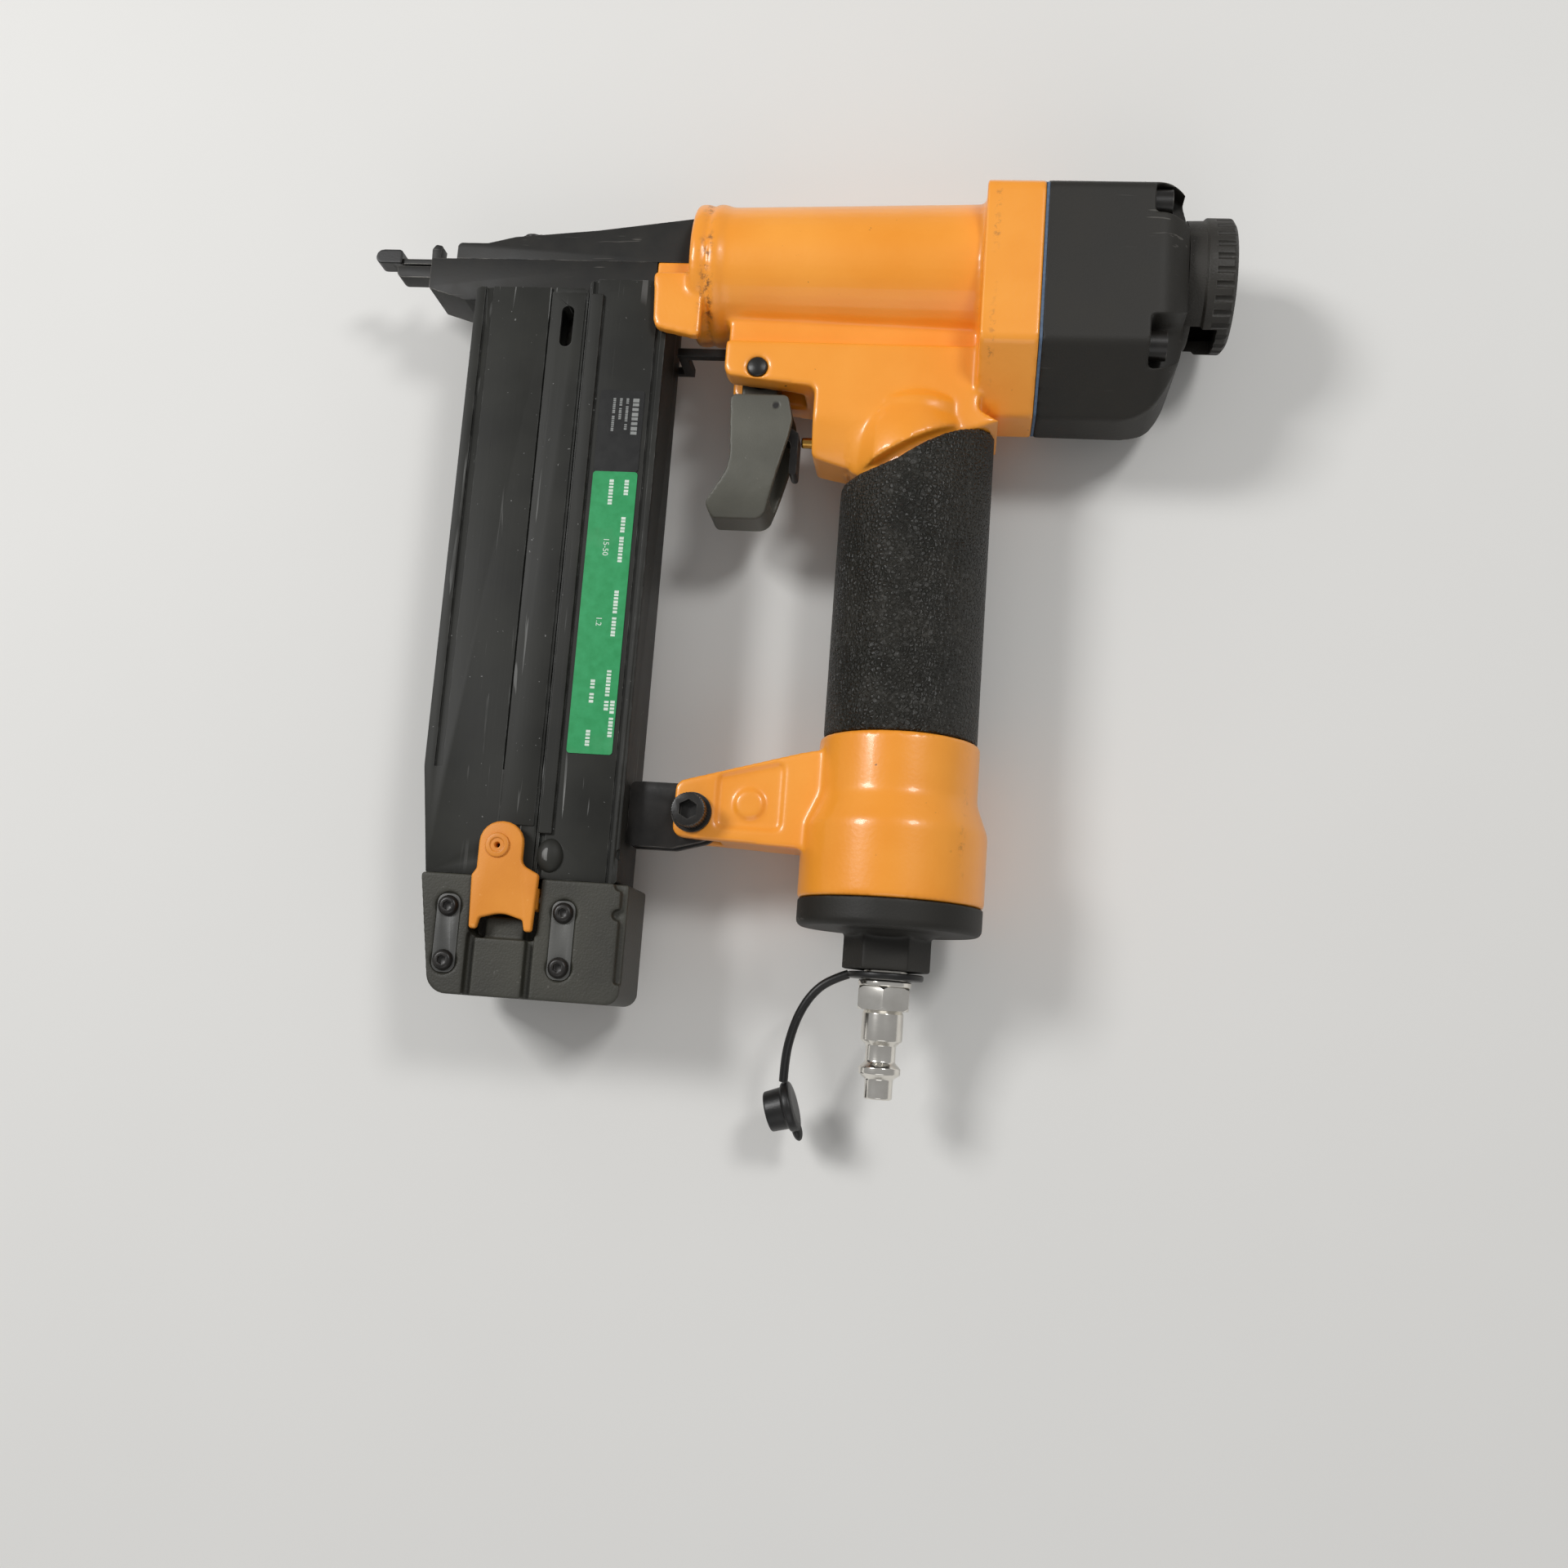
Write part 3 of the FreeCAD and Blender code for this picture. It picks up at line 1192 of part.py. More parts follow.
def nose_screws():
    head = (S.nose_screw_head_radius, S.nose_screw_head_length)
    groups = []
    for at, seat in ((S.nose_screw_front, S.front_screw_seat), (S.nose_screw_middle,
                     S.rear_screw_seat), (S.nose_screw_rear, S.rear_screw_seat)):
        places = [(x, seat, z) for x, z in nose_screw_sides(at)]
        groups.append(screws(places, TO_Y, head, (S.nose_screw_radius,
                                                  seat + S.nose_screw_depth - 1),
                             S.nose_screw_radius * 1.5))
    return node(joined(*groups), "nose_screws")


def contact_arm():
    item = body()
    low, high = S.arm_low, S.arm_low + S.arm_plate_thickness
    half, rear = S.arm_plate_half_width, -S.arm_rear
    front = -S.tip_front + S.tip_length - 3
    strip = [(front, low), (rear, low), (rear, S.arm_tab_height), (rear - 1.6, S.arm_tab_height),
             (rear - 1.6, high), (front, high)]
    base = [(front, low), (rear, low), (rear, high), (front, high)]
    pad(item, draw(item, "XY_Plane", [base], name="Strip"), half * 2, True)
    pad(item, draw(item, "XY_Plane", [strip], name="Tab"), S.arm_spring_radius * 2, True)
    wing = [(rear - S.arm_wing_length, low), (rear, low), (rear, high),
            (rear - S.arm_wing_length, high)]
    outer, inner = -S.side_bar_outer, -S.side_bar_outer + S.arm_plate_thickness
    pad(item, draw(item, "XY_Plane", [wing], at=outer, name="Wing"), S.side_bar_outer - half + 1)
    bar_top, bar_low = -S.link_drop, -S.link_drop - S.link_height
    turn = -S.magazine_rear + S.link_clearance
    side = [(rear - S.arm_wing_length, high), (rear, high), (rear, -4), (turn - 4, bar_top),
            (turn + S.link_width, bar_top), (turn + S.link_width, bar_low), (turn - 7, bar_low),
            (rear - S.arm_wing_length, -8)]
    pad(item, draw(item, "XY_Plane", [side], at=outer, name="SideBar"), inner - outer)
    cross = [(turn, bar_low), (turn + S.link_width, bar_low), (turn + S.link_width, bar_top),
             (turn, bar_top)]
    half = S.link_width / 2
    pad(item, draw(item, "XY_Plane", [cross], at=outer, name="CrossBar"), S.side_bar_outer + half)
    link = [(turn, bar_low), (-S.link_rear, bar_low), (-S.link_rear, bar_top), (turn, bar_top)]
    pad(item, draw(item, "XY_Plane", [link], name="Link"), S.link_width, True)
    return node(item, "contact_arm")


def no_mar_tip():
    item = body()
    front, rear = -S.tip_front, -S.tip_front + S.tip_length
    outline = [(front, S.tip_drop, 2), (front, S.tip_height, 2.4), (rear, S.tip_height, 1),
               (rear, S.tip_drop)]
    pad(item, draw(item, "XY_Plane", [outline]), S.tip_half_width * 2, True)
    low, high = S.arm_low, S.arm_low + S.arm_plate_thickness
    half = S.arm_plate_half_width
    socket = [(low, half * -1), (low, half), (high, half), (high, half * -1)]
    pocket(item, draw(item, "YZ_Plane", [socket], at=rear + 1, name="Socket"), 4)
    return node(item, "no_mar_tip")


def contact_arm_spring():
    start = -S.arm_rear + GAP / 2
    y = S.arm_tab_height - S.arm_spring_radius
    return node(spring(S.arm_spring_radius - 0.3, 0.3, S.arm_rear - S.nose_spring_rear - GAP, 6,
                       start, y, 0, TO_X), "contact_arm_spring")


# ---------------------------------------------------------------- magazine

def clear_guide(item, high, low):
    """Leaves the magazine's two cheeks standing beside the driver guide."""
    room = [(-S.slider_front - 5, low), (-S.slider_front - 5, high), (-90, high), (-90, low)]
    pocket(item, draw(item, "XY_Plane", [room], name="GuideRoom"),
           (S.plate_half_width + SLIDE) * 2, True)


def fixed_magazine():
    item = body()
    front, rear = -S.slider_rear + SLIDE, -S.magazine_rear
    top, low = -S.guide_drop - GAP, -S.magazine_bottom
    cheek = -S.fixed_cheek_top
    outline = [(front, cheek, 2), (rear, cheek, 2), (rear, low, 1), (front, low)]
    pad(item, draw(item, "XY_Plane", [outline]), S.magazine_half_width * 2, True)
    clear_guide(item, cheek + 1, top)
    rail_top = -S.feed_half_height
    rail = [(-S.rail_front, top), (front + 2, top), (front + 2, low + 2), (-S.rail_front, low + 2)]
    pad(item, draw(item, "XY_Plane", [rail], at=rail_top - S.rail_thickness, name="Rail"),
        S.rail_thickness)
    feed = S.feed_half_height
    slot = [(front - 1, feed * -1), (-S.brad_head + 0.3, feed * -1), (-S.brad_head + 0.3, feed),
            (front - 1, feed)]
    pocket(item, draw(item, "XZ_Plane", [slot], at=0, name="Feed"), 240, forward=True)
    face, deep = S.magazine_half_width, S.side_groove_depth
    for left in (-S.slider_rear + 1.2, -S.label_rear + 1.4):
        groove = [(left, cheek + 1), (left + 1.6, cheek + 1), (left + 1.6, low - 1),
                  (left, low - 1)]
        pocket(item, draw(item, "XY_Plane", [groove], at=face - deep, name="Groove"), 5,
               forward=True)
        pocket(item, draw(item, "XY_Plane", [groove], at=deep - face, name="GrooveBelow"), 5)
    return node(item, "fixed_magazine")


def sliding_magazine():
    item = body()
    top, cheek = -S.slider_top, -S.slider_cheek_top
    outline = [(-S.slider_front, cheek, 2), (-S.slider_front, -S.slider_waist, 20),
               (-S.slider_foot_front, -S.magazine_bottom),
               (-S.slider_rear, -S.magazine_bottom), (-S.slider_rear, cheek, 2)]
    pad(item, draw(item, "XY_Plane", [outline]), S.magazine_half_width * 2, True)
    clear_guide(item, cheek + 1, top)
    wall = S.slider_wall
    hollow = [(-S.slider_front + wall, top + 1), (-S.slider_front + wall, -S.slider_waist, 20),
              (-S.slider_foot_front + wall, -S.magazine_bottom - 1),
              (-S.slider_rear + 1, -S.magazine_bottom - 1), (-S.slider_rear + 1, top + 1)]
    pocket(item, draw(item, "XY_Plane", [hollow], name="Hollow"),
           S.slider_cavity_half_height * 2, True)
    x = -(S.window_front + S.window_rear) / 2
    half = (S.window_front - S.window_rear) / 2
    window = [(x - half, -S.window_top, 1.9), (x + half, -S.window_top, 1.9),
              (x + half, -S.window_bottom, 1.9), (x - half, -S.window_bottom, 1.9)]
    pocket(item, draw(item, "XY_Plane", [window], name="Window"), 20, forward=True)
    face, deep = S.magazine_half_width, S.side_groove_depth
    for left, width in ((-S.slider_front + 3, 2.4), (-S.panel_line, 0.8)):
        groove = [(left, cheek + 1), (left + width, cheek + 1), (left + width, -S.slider_waist),
                  (left, -S.slider_waist)]
        pocket(item, draw(item, "XY_Plane", [groove], at=face - deep, name="Groove"), 5,
               forward=True)
        pocket(item, draw(item, "XY_Plane", [groove], at=deep - face, name="GrooveBelow"), 5)
    hole = [(-S.latch_tab_forward, -S.latch_tab_drop, 2.4)]
    pocket(item, draw(item, "XY_Plane", circles=hole, at=face - 1.5, name="SpringSeat"), 5,
           forward=True)
    return node(item, "sliding_magazine")


def brad_strip():
    half, top = S.brad_half_thickness, -0.95
    strip = box((-S.brad_head - S.brad_length, -S.brad_head - 0.6),
                (top - S.brad_strip_length, top), (half * -1, half))
    heads = box((-S.brad_head - 0.6, -S.brad_head), (top - S.brad_strip_length, top),
                (-0.75, 0.75))
    return node(joined(strip, heads), "brad_strip")


def pusher():
    top = -1.1 - S.brad_strip_length
    low = top - S.pusher_length
    half = S.brad_half_thickness
    blade = box((-S.rail_front, -S.brad_head - 0.8), (low, top), (half * -1, half))
    spine = box((-S.rail_front, -S.slider_rear - 1.5), (low, top),
                (half, S.slider_cavity_half_height - SLIDE))
    return node(joined(blade, spine), "pusher")


def pusher_spring():
    start = -1.1 - S.brad_strip_length - S.pusher_length
    radius = S.pusher_spring_radius
    return node(spring(radius, 0.2, S.magazine_bottom + start - GAP, 24, -S.rail_front + 6,
                       start - GAP / 2, S.slider_cavity_half_height - SLIDE - radius - 0.3,
                       TO_MINUS_Y), "pusher_spring")


def label(name, top, bottom):
    item = body()
    outline = [(-S.label_front, -top, 1), (-S.label_rear, -top, 1), (-S.label_rear, -bottom, 1),
               (-S.label_front, -bottom, 1)]
    pad(item, draw(item, "XY_Plane", [outline], at=S.magazine_half_width), S.label_thickness)
    return node(item, name)


def bracket_ear(z):
    """A tab from the magazine's back to the bolt, rounded where it enters the arm's fork."""
    item = body()
    x, y, radius = -S.bolt_forward, -S.bolt_drop, S.bracket_ear_radius
    step = -S.arm_front - 0.6
    back = -S.magazine_rear + GAP
    plate = [(back, -S.bracket_top, 2), (step, -S.bracket_top, 2),
             (x + radius, y + radius, radius - 0.5), (x + radius, y - radius, radius - 0.5),
             (step, -S.bracket_bottom, 2), (back, -S.bracket_bottom, 2)]
    pad(item, draw(item, "XY_Plane", [plate], [(x, y, S.bolt_radius + GAP)], z),
        S.bracket_thickness)
    return item


def magazine_bracket():
    inner = S.bracket_half_width - S.bracket_thickness
    wall = box((-S.magazine_rear + GAP, -S.magazine_rear + GAP + S.bracket_thickness),
               (-S.bracket_bottom + 1.5, -S.bracket_top - 1.5),
               (-S.bracket_half_width, S.bracket_half_width))
    return node(joined(bracket_ear(inner), bracket_ear(-S.bracket_half_width), wall),
                "magazine_bracket")


def magazine_bolt():
    seat = S.arm_half_width + GAP * 2 + S.washer_thickness
    place = (-S.bolt_forward, -S.bolt_drop, seat)
    reach = seat + S.arm_half_width + 5
    return node(screws([place], TO_Z, (S.bolt_head_radius, S.bolt_head_length),
                       (S.bolt_radius, reach), 5), "magazine_bolt")


def bolt_washer():
    seat = S.arm_half_width + GAP
    plate = cylinder(S.washer_radius, S.washer_thickness, -S.bolt_forward, -S.bolt_drop, seat)
    hole = cylinder(S.bolt_radius + GAP, 6, -S.bolt_forward, -S.bolt_drop, seat - 1)
    return node(cut(plate, hole), "bolt_washer")


def bolt_nut():
    seat = -S.arm_half_width - GAP
    nut = hexagon(10, 4.6, -S.bolt_forward, -S.bolt_drop, seat, TO_MINUS_Z)
    hole = cylinder(S.bolt_radius + 0.02, 12, -S.bolt_forward, -S.bolt_drop, seat - 8)
    return node(cut(nut, hole), "bolt_nut")


# ---------------------------------------------------------------- magazine end cap and latch

FOOT_SCREWS = (-S.foot_screw_front, -S.foot_screw_rear)


def magazine_end_cap():
    item = body()
    top = -S.magazine_bottom - GAP
    outline = [(-S.foot_front, top, 1), (-S.foot_bottom_front, -S.foot_bottom, 6),
               (-S.foot_rear, -S.foot_bottom, S.foot_corner_radius), (-S.foot_rear, top, 1)]
    pad(item, draw(item, "XY_Plane", [outline]), S.foot_half_width * 2, True)
    gate = [(-S.gate_front, top + 1), (-S.gate_front, -S.gate_bottom, 3),
            (-S.gate_rear, -S.gate_bottom, 3), (-S.gate_rear, top + 1)]
    pocket(item, draw(item, "XY_Plane", [gate], at=S.gate_floor, name="Gate"), 20, forward=True)
    face = S.foot_half_width - S.strip_thickness
    half = S.strip_width / 2
    for x in FOOT_SCREWS:
        strip = [(x - half, -S.foot_screw_top + half, 2.5),
                 (x + half, -S.foot_screw_top + half, 2.5),
                 (x + half, -S.foot_screw_bottom - half, 2.5),
                 (x - half, -S.foot_screw_bottom - half, 2.5)]
        pocket(item, draw(item, "XY_Plane", [strip], at=face, name="StripSeat"), 5, forward=True)
    holes = [(x, -y, S.foot_screw_radius) for x in FOOT_SCREWS
             for y in (S.foot_screw_top, S.foot_screw_bottom)]
    pocket(item, draw(item, "XY_Plane", circles=holes, name="ScrewHoles"), 30, forward=True)
    ears = [(-S.latch_pivot_drop, S.latch_pivot_height, S.latch_pin_radius)]
    pocket(item, draw(item, "YZ_Plane", circles=ears, at=-S.gate_rear + 4, name="PinHole"),
           S.gate_front - S.gate_rear + 8)
    return node(item, "magazine_end_cap")


def end_cap_strips():
    half = S.strip_width / 2 - GAP / 2
    low = S.foot_half_width - S.strip_thickness
    plates = []
    for x in FOOT_SCREWS:
        item = body()
        outline = [(x - half, -S.foot_screw_top + half, 2.5),
                   (x + half, -S.foot_screw_top + half, 2.5),
                   (x + half, -S.foot_screw_bottom - half, 2.5),
                   (x - half, -S.foot_screw_bottom - half, 2.5)]
        holes = [(x, -y, S.foot_screw_radius) for y in (S.foot_screw_top, S.foot_screw_bottom)]
        pad(item, draw(item, "XY_Plane", [outline], holes, low), S.strip_thickness)
        plates.append(item)
    return node(joined(*plates), "end_cap_strips")


def end_cap_screws():
    places = [(x, -y, S.foot_half_width) for x in FOOT_SCREWS
              for y in (S.foot_screw_top, S.foot_screw_bottom)]
    return node(screws(places, TO_Z, (S.foot_screw_head_radius, S.foot_screw_head_length),
                       (S.foot_screw_radius, S.foot_half_width - 2), 2.6), "end_cap_screws")


def latch():
    item = body()
    x, radius = -S.latch_tab_forward, S.latch_tab_radius
    under = S.magazine_half_width + S.latch_lift
    top = -S.latch_tab_drop + radius
    front, rear = -S.gate_front + SLIDE, -S.gate_rear - SLIDE
    plate = [(x - radius, top, radius - 0.6), (x + radius, top, radius - 0.6),
             (x + radius, -S.magazine_bottom + 4, 4), (rear, -S.magazine_bottom, 2),
             (rear, -S.gate_bottom + 4, 2), (rear - 5, -S.gate_bottom + 1.5, 2),
             (rear - 6.5, -S.latch_notch_drop, 3), (front + 6.5, -S.latch_notch_drop, 3),
             (front + 5, -S.gate_bottom + 1.5, 2),
             (front, -S.gate_bottom + 4, 2), (front, -S.magazine_bottom, 2),
             (x - radius, -S.magazine_bottom + 4, 4)]
    pad(item, draw(item, "XY_Plane", [plate], at=under), S.latch_thickness)
    pivot = -S.latch_pivot_drop
    eye = S.latch_pin_radius + 2.2
    knuckle = [(front, pivot + eye), (rear, pivot + eye), (rear, pivot - eye),
               (front, pivot - eye)]
    foot = S.latch_pivot_height - eye
    pad(item, draw(item, "XY_Plane", [knuckle], at=foot, name="Knuckle"), under - foot + 0.5)
    hole = [(pivot, S.latch_pivot_height, S.latch_pin_radius + S.pin_gap)]
    pocket(item, draw(item, "YZ_Plane", circles=hole, at=-S.gate_rear + 4, name="Eye"), 40)
    rivet = [(x, -S.latch_tab_drop, 1.5)]
    pocket(item, draw(item, "XY_Plane", circles=rivet, name="RivetHole"), 40, forward=True)
    return node(item, "latch")


def latch_rivet():
    top = S.magazine_half_width + S.latch_lift + S.latch_thickness
    head = cylinder(S.latch_rivet_radius, 0.8, -S.latch_tab_forward, -S.latch_tab_drop, top)
    stem = cylinder(1.45, S.latch_thickness + 0.4, -S.latch_tab_forward, -S.latch_tab_drop,
                    top - S.latch_thickness - 0.4)
    return node(joined(head, stem), "latch_rivet")


def latch_pin():
    return node(cylinder(S.latch_pin_radius, S.gate_front - S.gate_rear + 6, -S.gate_front - 3,
                         -S.latch_pivot_drop, S.latch_pivot_height, TO_X), "latch_pin")


def latch_spring():
    low = S.magazine_half_width - 1.5
    high = S.magazine_half_width + S.latch_lift
    return node(wide_spring(2.0, 0.25, high - low - GAP, 3, -S.latch_tab_forward, -S.latch_tab_drop,
                       low + GAP / 2, TO_Z), "latch_spring")


# ---------------------------------------------------------------- build, check and write

def build():
    for piece in (main_housing, head_gasket, head_cap, cap_screws, exhaust_deflector,
                  deflector_screw, cylinder_sleeve, cylinder_o_rings, bumper, piston,
                  piston_o_ring, driver_blade, head_valve, head_valve_spring,
                  trigger_valve_body, valve_stem, valve_spring, trigger_pin, trigger, lever_pin,
                  trigger_lever, grip_sleeve, tank_end_cap, end_cap_o_ring, air_plug,
                  tether_ring, tether_strap, dust_cap, driver_guide, nose_front_plate,
                  nose_screws, contact_arm, no_mar_tip, contact_arm_spring, fixed_magazine,
                  sliding_magazine, brad_strip, pusher, pusher_spring, magazine_bracket,
                  magazine_bolt, bolt_washer, bolt_nut, magazine_end_cap, end_cap_strips,
                  end_cap_screws, latch, latch_rivet, latch_pin, latch_spring):
        piece()
    label("label_scale", S.label_top, S.label_joint)
    label("label_name", S.label_joint, S.label_bottom)
    document.recompute()


def check():
    for item in document.Objects:
        if {"Invalid", "Error"} & set(item.State):
            raise RuntimeError(f"{item.Name} failed: {item.State}")
    for item in nodes:
        if item.Shape.isNull() or not item.Shape.isValid() or not item.Shape.Solids:
            raise RuntimeError(f"{item.Label} has no valid solid")


def write():
    os.makedirs("parts", exist_ok=True)
    for item in nodes:
        item.Shape.exportStep(f"parts/{item.Label}.step")


build()
check()
write()
print(f"{len(nodes)} sub-parts")
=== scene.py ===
# %% [markdown]
# # A pneumatic brad nailer, one cell at a time
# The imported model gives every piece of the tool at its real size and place.
# These cells dress it: finishes that are built from nodes, and new meshes where
# a casting, a moulding or a rubber grip has softer forms than the plain solids.

# %% Load the frame
import math

import bpy
from mathutils import Matrix, Vector


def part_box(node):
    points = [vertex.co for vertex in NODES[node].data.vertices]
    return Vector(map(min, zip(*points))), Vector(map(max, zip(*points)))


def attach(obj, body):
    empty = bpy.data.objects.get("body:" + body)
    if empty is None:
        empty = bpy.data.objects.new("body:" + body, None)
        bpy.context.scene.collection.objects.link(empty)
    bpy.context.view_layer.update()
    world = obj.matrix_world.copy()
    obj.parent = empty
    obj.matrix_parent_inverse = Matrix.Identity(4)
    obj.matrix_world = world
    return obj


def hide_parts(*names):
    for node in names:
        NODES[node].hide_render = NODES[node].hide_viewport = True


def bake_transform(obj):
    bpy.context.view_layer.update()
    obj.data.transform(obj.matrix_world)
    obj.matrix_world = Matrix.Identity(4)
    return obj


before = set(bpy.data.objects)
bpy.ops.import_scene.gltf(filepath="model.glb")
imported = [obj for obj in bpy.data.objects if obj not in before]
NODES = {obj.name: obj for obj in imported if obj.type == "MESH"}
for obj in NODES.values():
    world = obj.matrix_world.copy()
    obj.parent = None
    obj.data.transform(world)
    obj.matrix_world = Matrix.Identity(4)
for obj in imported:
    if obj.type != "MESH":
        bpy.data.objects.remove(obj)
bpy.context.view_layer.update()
MM = 0.001

# %% [markdown]
# The tool lies on its side. X runs along the driver, Y up the handle to the head
# and Z up from the table. Its own zero point is where the driver's axis meets the
# joint of the head, so places are given in millimetres from there, which is how
# someone who measures such a tool would write them down.

# %% Places in millimetres
gasket_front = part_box("head_gasket")[0][0]
GASKET_TO_JOINT = 1.5
blade_low, blade_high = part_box("driver_blade")
HEAD_JOINT = Vector((gasket_front + GASKET_TO_JOINT * MM, (blade_low[1] + blade_high[1]) / 2,
                     (blade_low[2] + blade_high[2]) / 2))
HANDLE = -34.7


def at(x, y, z=0.0):
    """A point in the frame, from millimetres along, up and across the tool."""
    return HEAD_JOINT + Vector((x, y, z)) * MM


print("head joint", tuple(round(value, 4) for value in HEAD_JOINT))

# %% [markdown]
# ## Camera, floor and light
# The view looks almost straight down at the tool, as one would at a tool on the
# floor, leaning a few degrees, so the far walls of the head and barrel show.
# A slightly wide lens close above the tool gives a strong perspective.

# %% Camera
camera_data = bpy.data.cameras.new("camera")
camera_data.sensor_width = 36.0
camera_data.lens = 35.6
camera = bpy.data.objects.new("camera", camera_data)
CAMERA_PLACE = (-17, -226, 446)
CAMERA_LEAN = (9.11, 5.84, 4.24)
camera.location = at(*CAMERA_PLACE)
camera.rotation_euler = [math.radians(angle) for angle in CAMERA_LEAN]
bpy.context.collection.objects.link(camera)
bpy.context.scene.camera = camera

# %% [markdown]
# The floor is a pale sheet of studio paper. One broad lamp stands to the left
# and a weaker one to the right, so that each edge has a bright and a dark side
# and the shadows fall softly towards the right.

# %% Floor, lamps and world
bpy.ops.mesh.primitive_plane_add(size=6, location=(0, 0, -0.0002))
floor = bpy.context.object
floor.name = "studio_floor"


def lamp(name, place, size, power):
    """A square soft lamp that faces the tool."""
    data = bpy.data.lights.new(name, "AREA")
    data.size = size
    data.energy = power
    item = bpy.data.objects.new(name, data)
    item.location = place
    item.rotation_euler = (-Vector(place)).to_track_quat("-Z", "Y").to_euler()
    bpy.context.collection.objects.link(item)


lamp("lamp_left", (-0.75, 0.35, 0.95), 0.3, 7.5)
lamp("lamp_right", (0.5, 0.45, 1.0), 0.25, 4.0)
lamp("lamp_foot", (0.1, -1.1, 0.9), 0.8, 2.0)

world = bpy.data.worlds.new("studio")
world.use_nodes = True
bpy.context.scene.world = world
world.node_tree.nodes["Background"].inputs["Color"].default_value = (1, 1, 1, 1)
world.node_tree.nodes["Background"].inputs["Strength"].default_value = 0.32
bpy.context.scene.view_settings.view_transform = "Standard"

# %% [markdown]
# ## The tether
# A moulded rubber strap ties the dust cap to the ring round the air plug. It is
# short and stiff, so it keeps its curve in the air. It is a smooth spline led by
# a few points chosen along that curve. Its line is kept as the strap's path, and
# then it is given a round section.

# %% The strap between ring and cap
STRAP = [(-45.2, -211.5, 0), (-50.6, -213.6, 0), (-55.2, -217.6, -0.6), (-58.6, -223.2, -1.6),
         (-60.8, -229.6, -3.2), (-62.2, -236.6, -5.4), (-62.4, -243.2, -7.2)]
STRAP_THICKNESS = 2.6

strap_curve = bpy.data.curves.new("strap_line", "CURVE")
strap_curve.dimensions = "3D"
spline = strap_curve.splines.new("NURBS")
spline.points.add(len(STRAP) - 1)
for point, place in zip(spline.points, STRAP):
    point.co = (*at(*place), 1)
spline.order_u = 3
spline.use_endpoint_u = True
strap_curve.resolution_u = 16
strap = bpy.data.objects.new("strap_line", strap_curve)
bpy.context.collection.objects.link(strap)
STRAP_PATH = [tuple(point.co) for point in strap.to_mesh().vertices]
strap.to_mesh_clear()
strap_curve.bevel_depth = STRAP_THICKNESS / 2 * MM
strap_curve.bevel_resolution = 6
strap_curve.use_fill_caps = True

# %% [markdown]
# ## Tools for modelling
# Each new piece starts as a primitive, is shaped in edit mode, and is finished
# with modifiers that are applied. These few helpers keep the steps short. They
# only choose what an operator acts on, because every operator works on all that
# is selected.

# %% Selecting and finishing


def only(item):
    """Selects one object and makes it active."""
    if bpy.context.object and bpy.context.object.mode != "OBJECT":
        bpy.ops.object.mode_set(mode="OBJECT")
    bpy.ops.object.select_all(action="DESELECT")
    item.select_set(True)
    bpy.context.view_layer.objects.active = item
    return item


def edit(item):
    """Opens one object in edit mode with all of it selected."""
    only(item)
    bpy.ops.object.mode_set(mode="EDIT")
    bpy.ops.mesh.select_mode(type="VERT")
    bpy.ops.mesh.select_all(action="SELECT")


def clean(item, merge=0.01):
    """Merges doubled points and turns every face outwards."""
    edit(item)
    bpy.ops.mesh.remove_doubles(threshold=merge * MM)
    bpy.ops.mesh.normals_make_consistent(inside=False)
    bpy.ops.object.mode_set(mode="OBJECT")
    return item


def modify(item, kind, **settings):
    """Adds a modifier with its settings and applies it."""
    only(item)
    modifier = item.modifiers.new(kind.lower(), kind)
    for name, value in settings.items():
        setattr(modifier, name, value)
    bpy.ops.object.modifier_apply(modifier=modifier.name)
    return item


def bevel(item, width, segments=3, angle=35):
    """Rounds the edges that turn by more than an angle."""
    return modify(item, "BEVEL", width=width * MM, segments=segments, limit_method="ANGLE",
                  angle_limit=math.radians(angle), harden_normals=False)


def shade(item, angle=35):
    """Shades a piece smooth, with its sharper edges kept."""
    only(item)
    bpy.ops.object.shade_smooth_by_angle(angle=math.radians(angle))
    return item


def join(name, *items):
    """Makes one object of several."""
    only(items[0])
    for item in items[1:]:
        item.select_set(True)
    bpy.ops.object.join()
    items[0].name = name
    return items[0]


# %% [markdown]
# Flat pieces are cut from plate: an outline with rounded corners, filled and
# extruded. Round pieces are turned: half of their section is spun round an axis.
# The outline of either is a circle primitive whose points are put in place.

# %% Plates and turned pieces


def rounded(outline, steps=6):
    """The outline with an arc at each corner that has a third value, its radius."""
    points, count = [], len(outline)
    for i, corner in enumerate(outline):
        here = Vector(corner[:2])
        if len(corner) == 2:
            points.append(here)
            continue
        back = (Vector(outline[i - 1][:2]) - here).normalized()
        ahead = (Vector(outline[(i + 1) % count][:2]) - here).normalized()
        half = back.angle(ahead) / 2
        centre = here + (back + ahead).normalized() * (corner[2] / math.sin(half))
        first = here + back * (corner[2] / math.tan(half)) - centre
        turn = first.angle_signed(here + ahead * (corner[2] / math.tan(half)) - centre)
        points += [centre + Matrix.Rotation(-turn * step / steps, 2) @ first
                   for step in range(steps + 1)]
    return points


def loop(name, places, fill):
    """A closed loop of points in millimetres, filled or open."""
    bpy.ops.mesh.primitive_circle_add(vertices=len(places), fill_type=fill)
    item = bpy.context.object
    item.name = name
    for vertex, place in zip(item.data.vertices, places):
        vertex.co = at(*place)
    return item


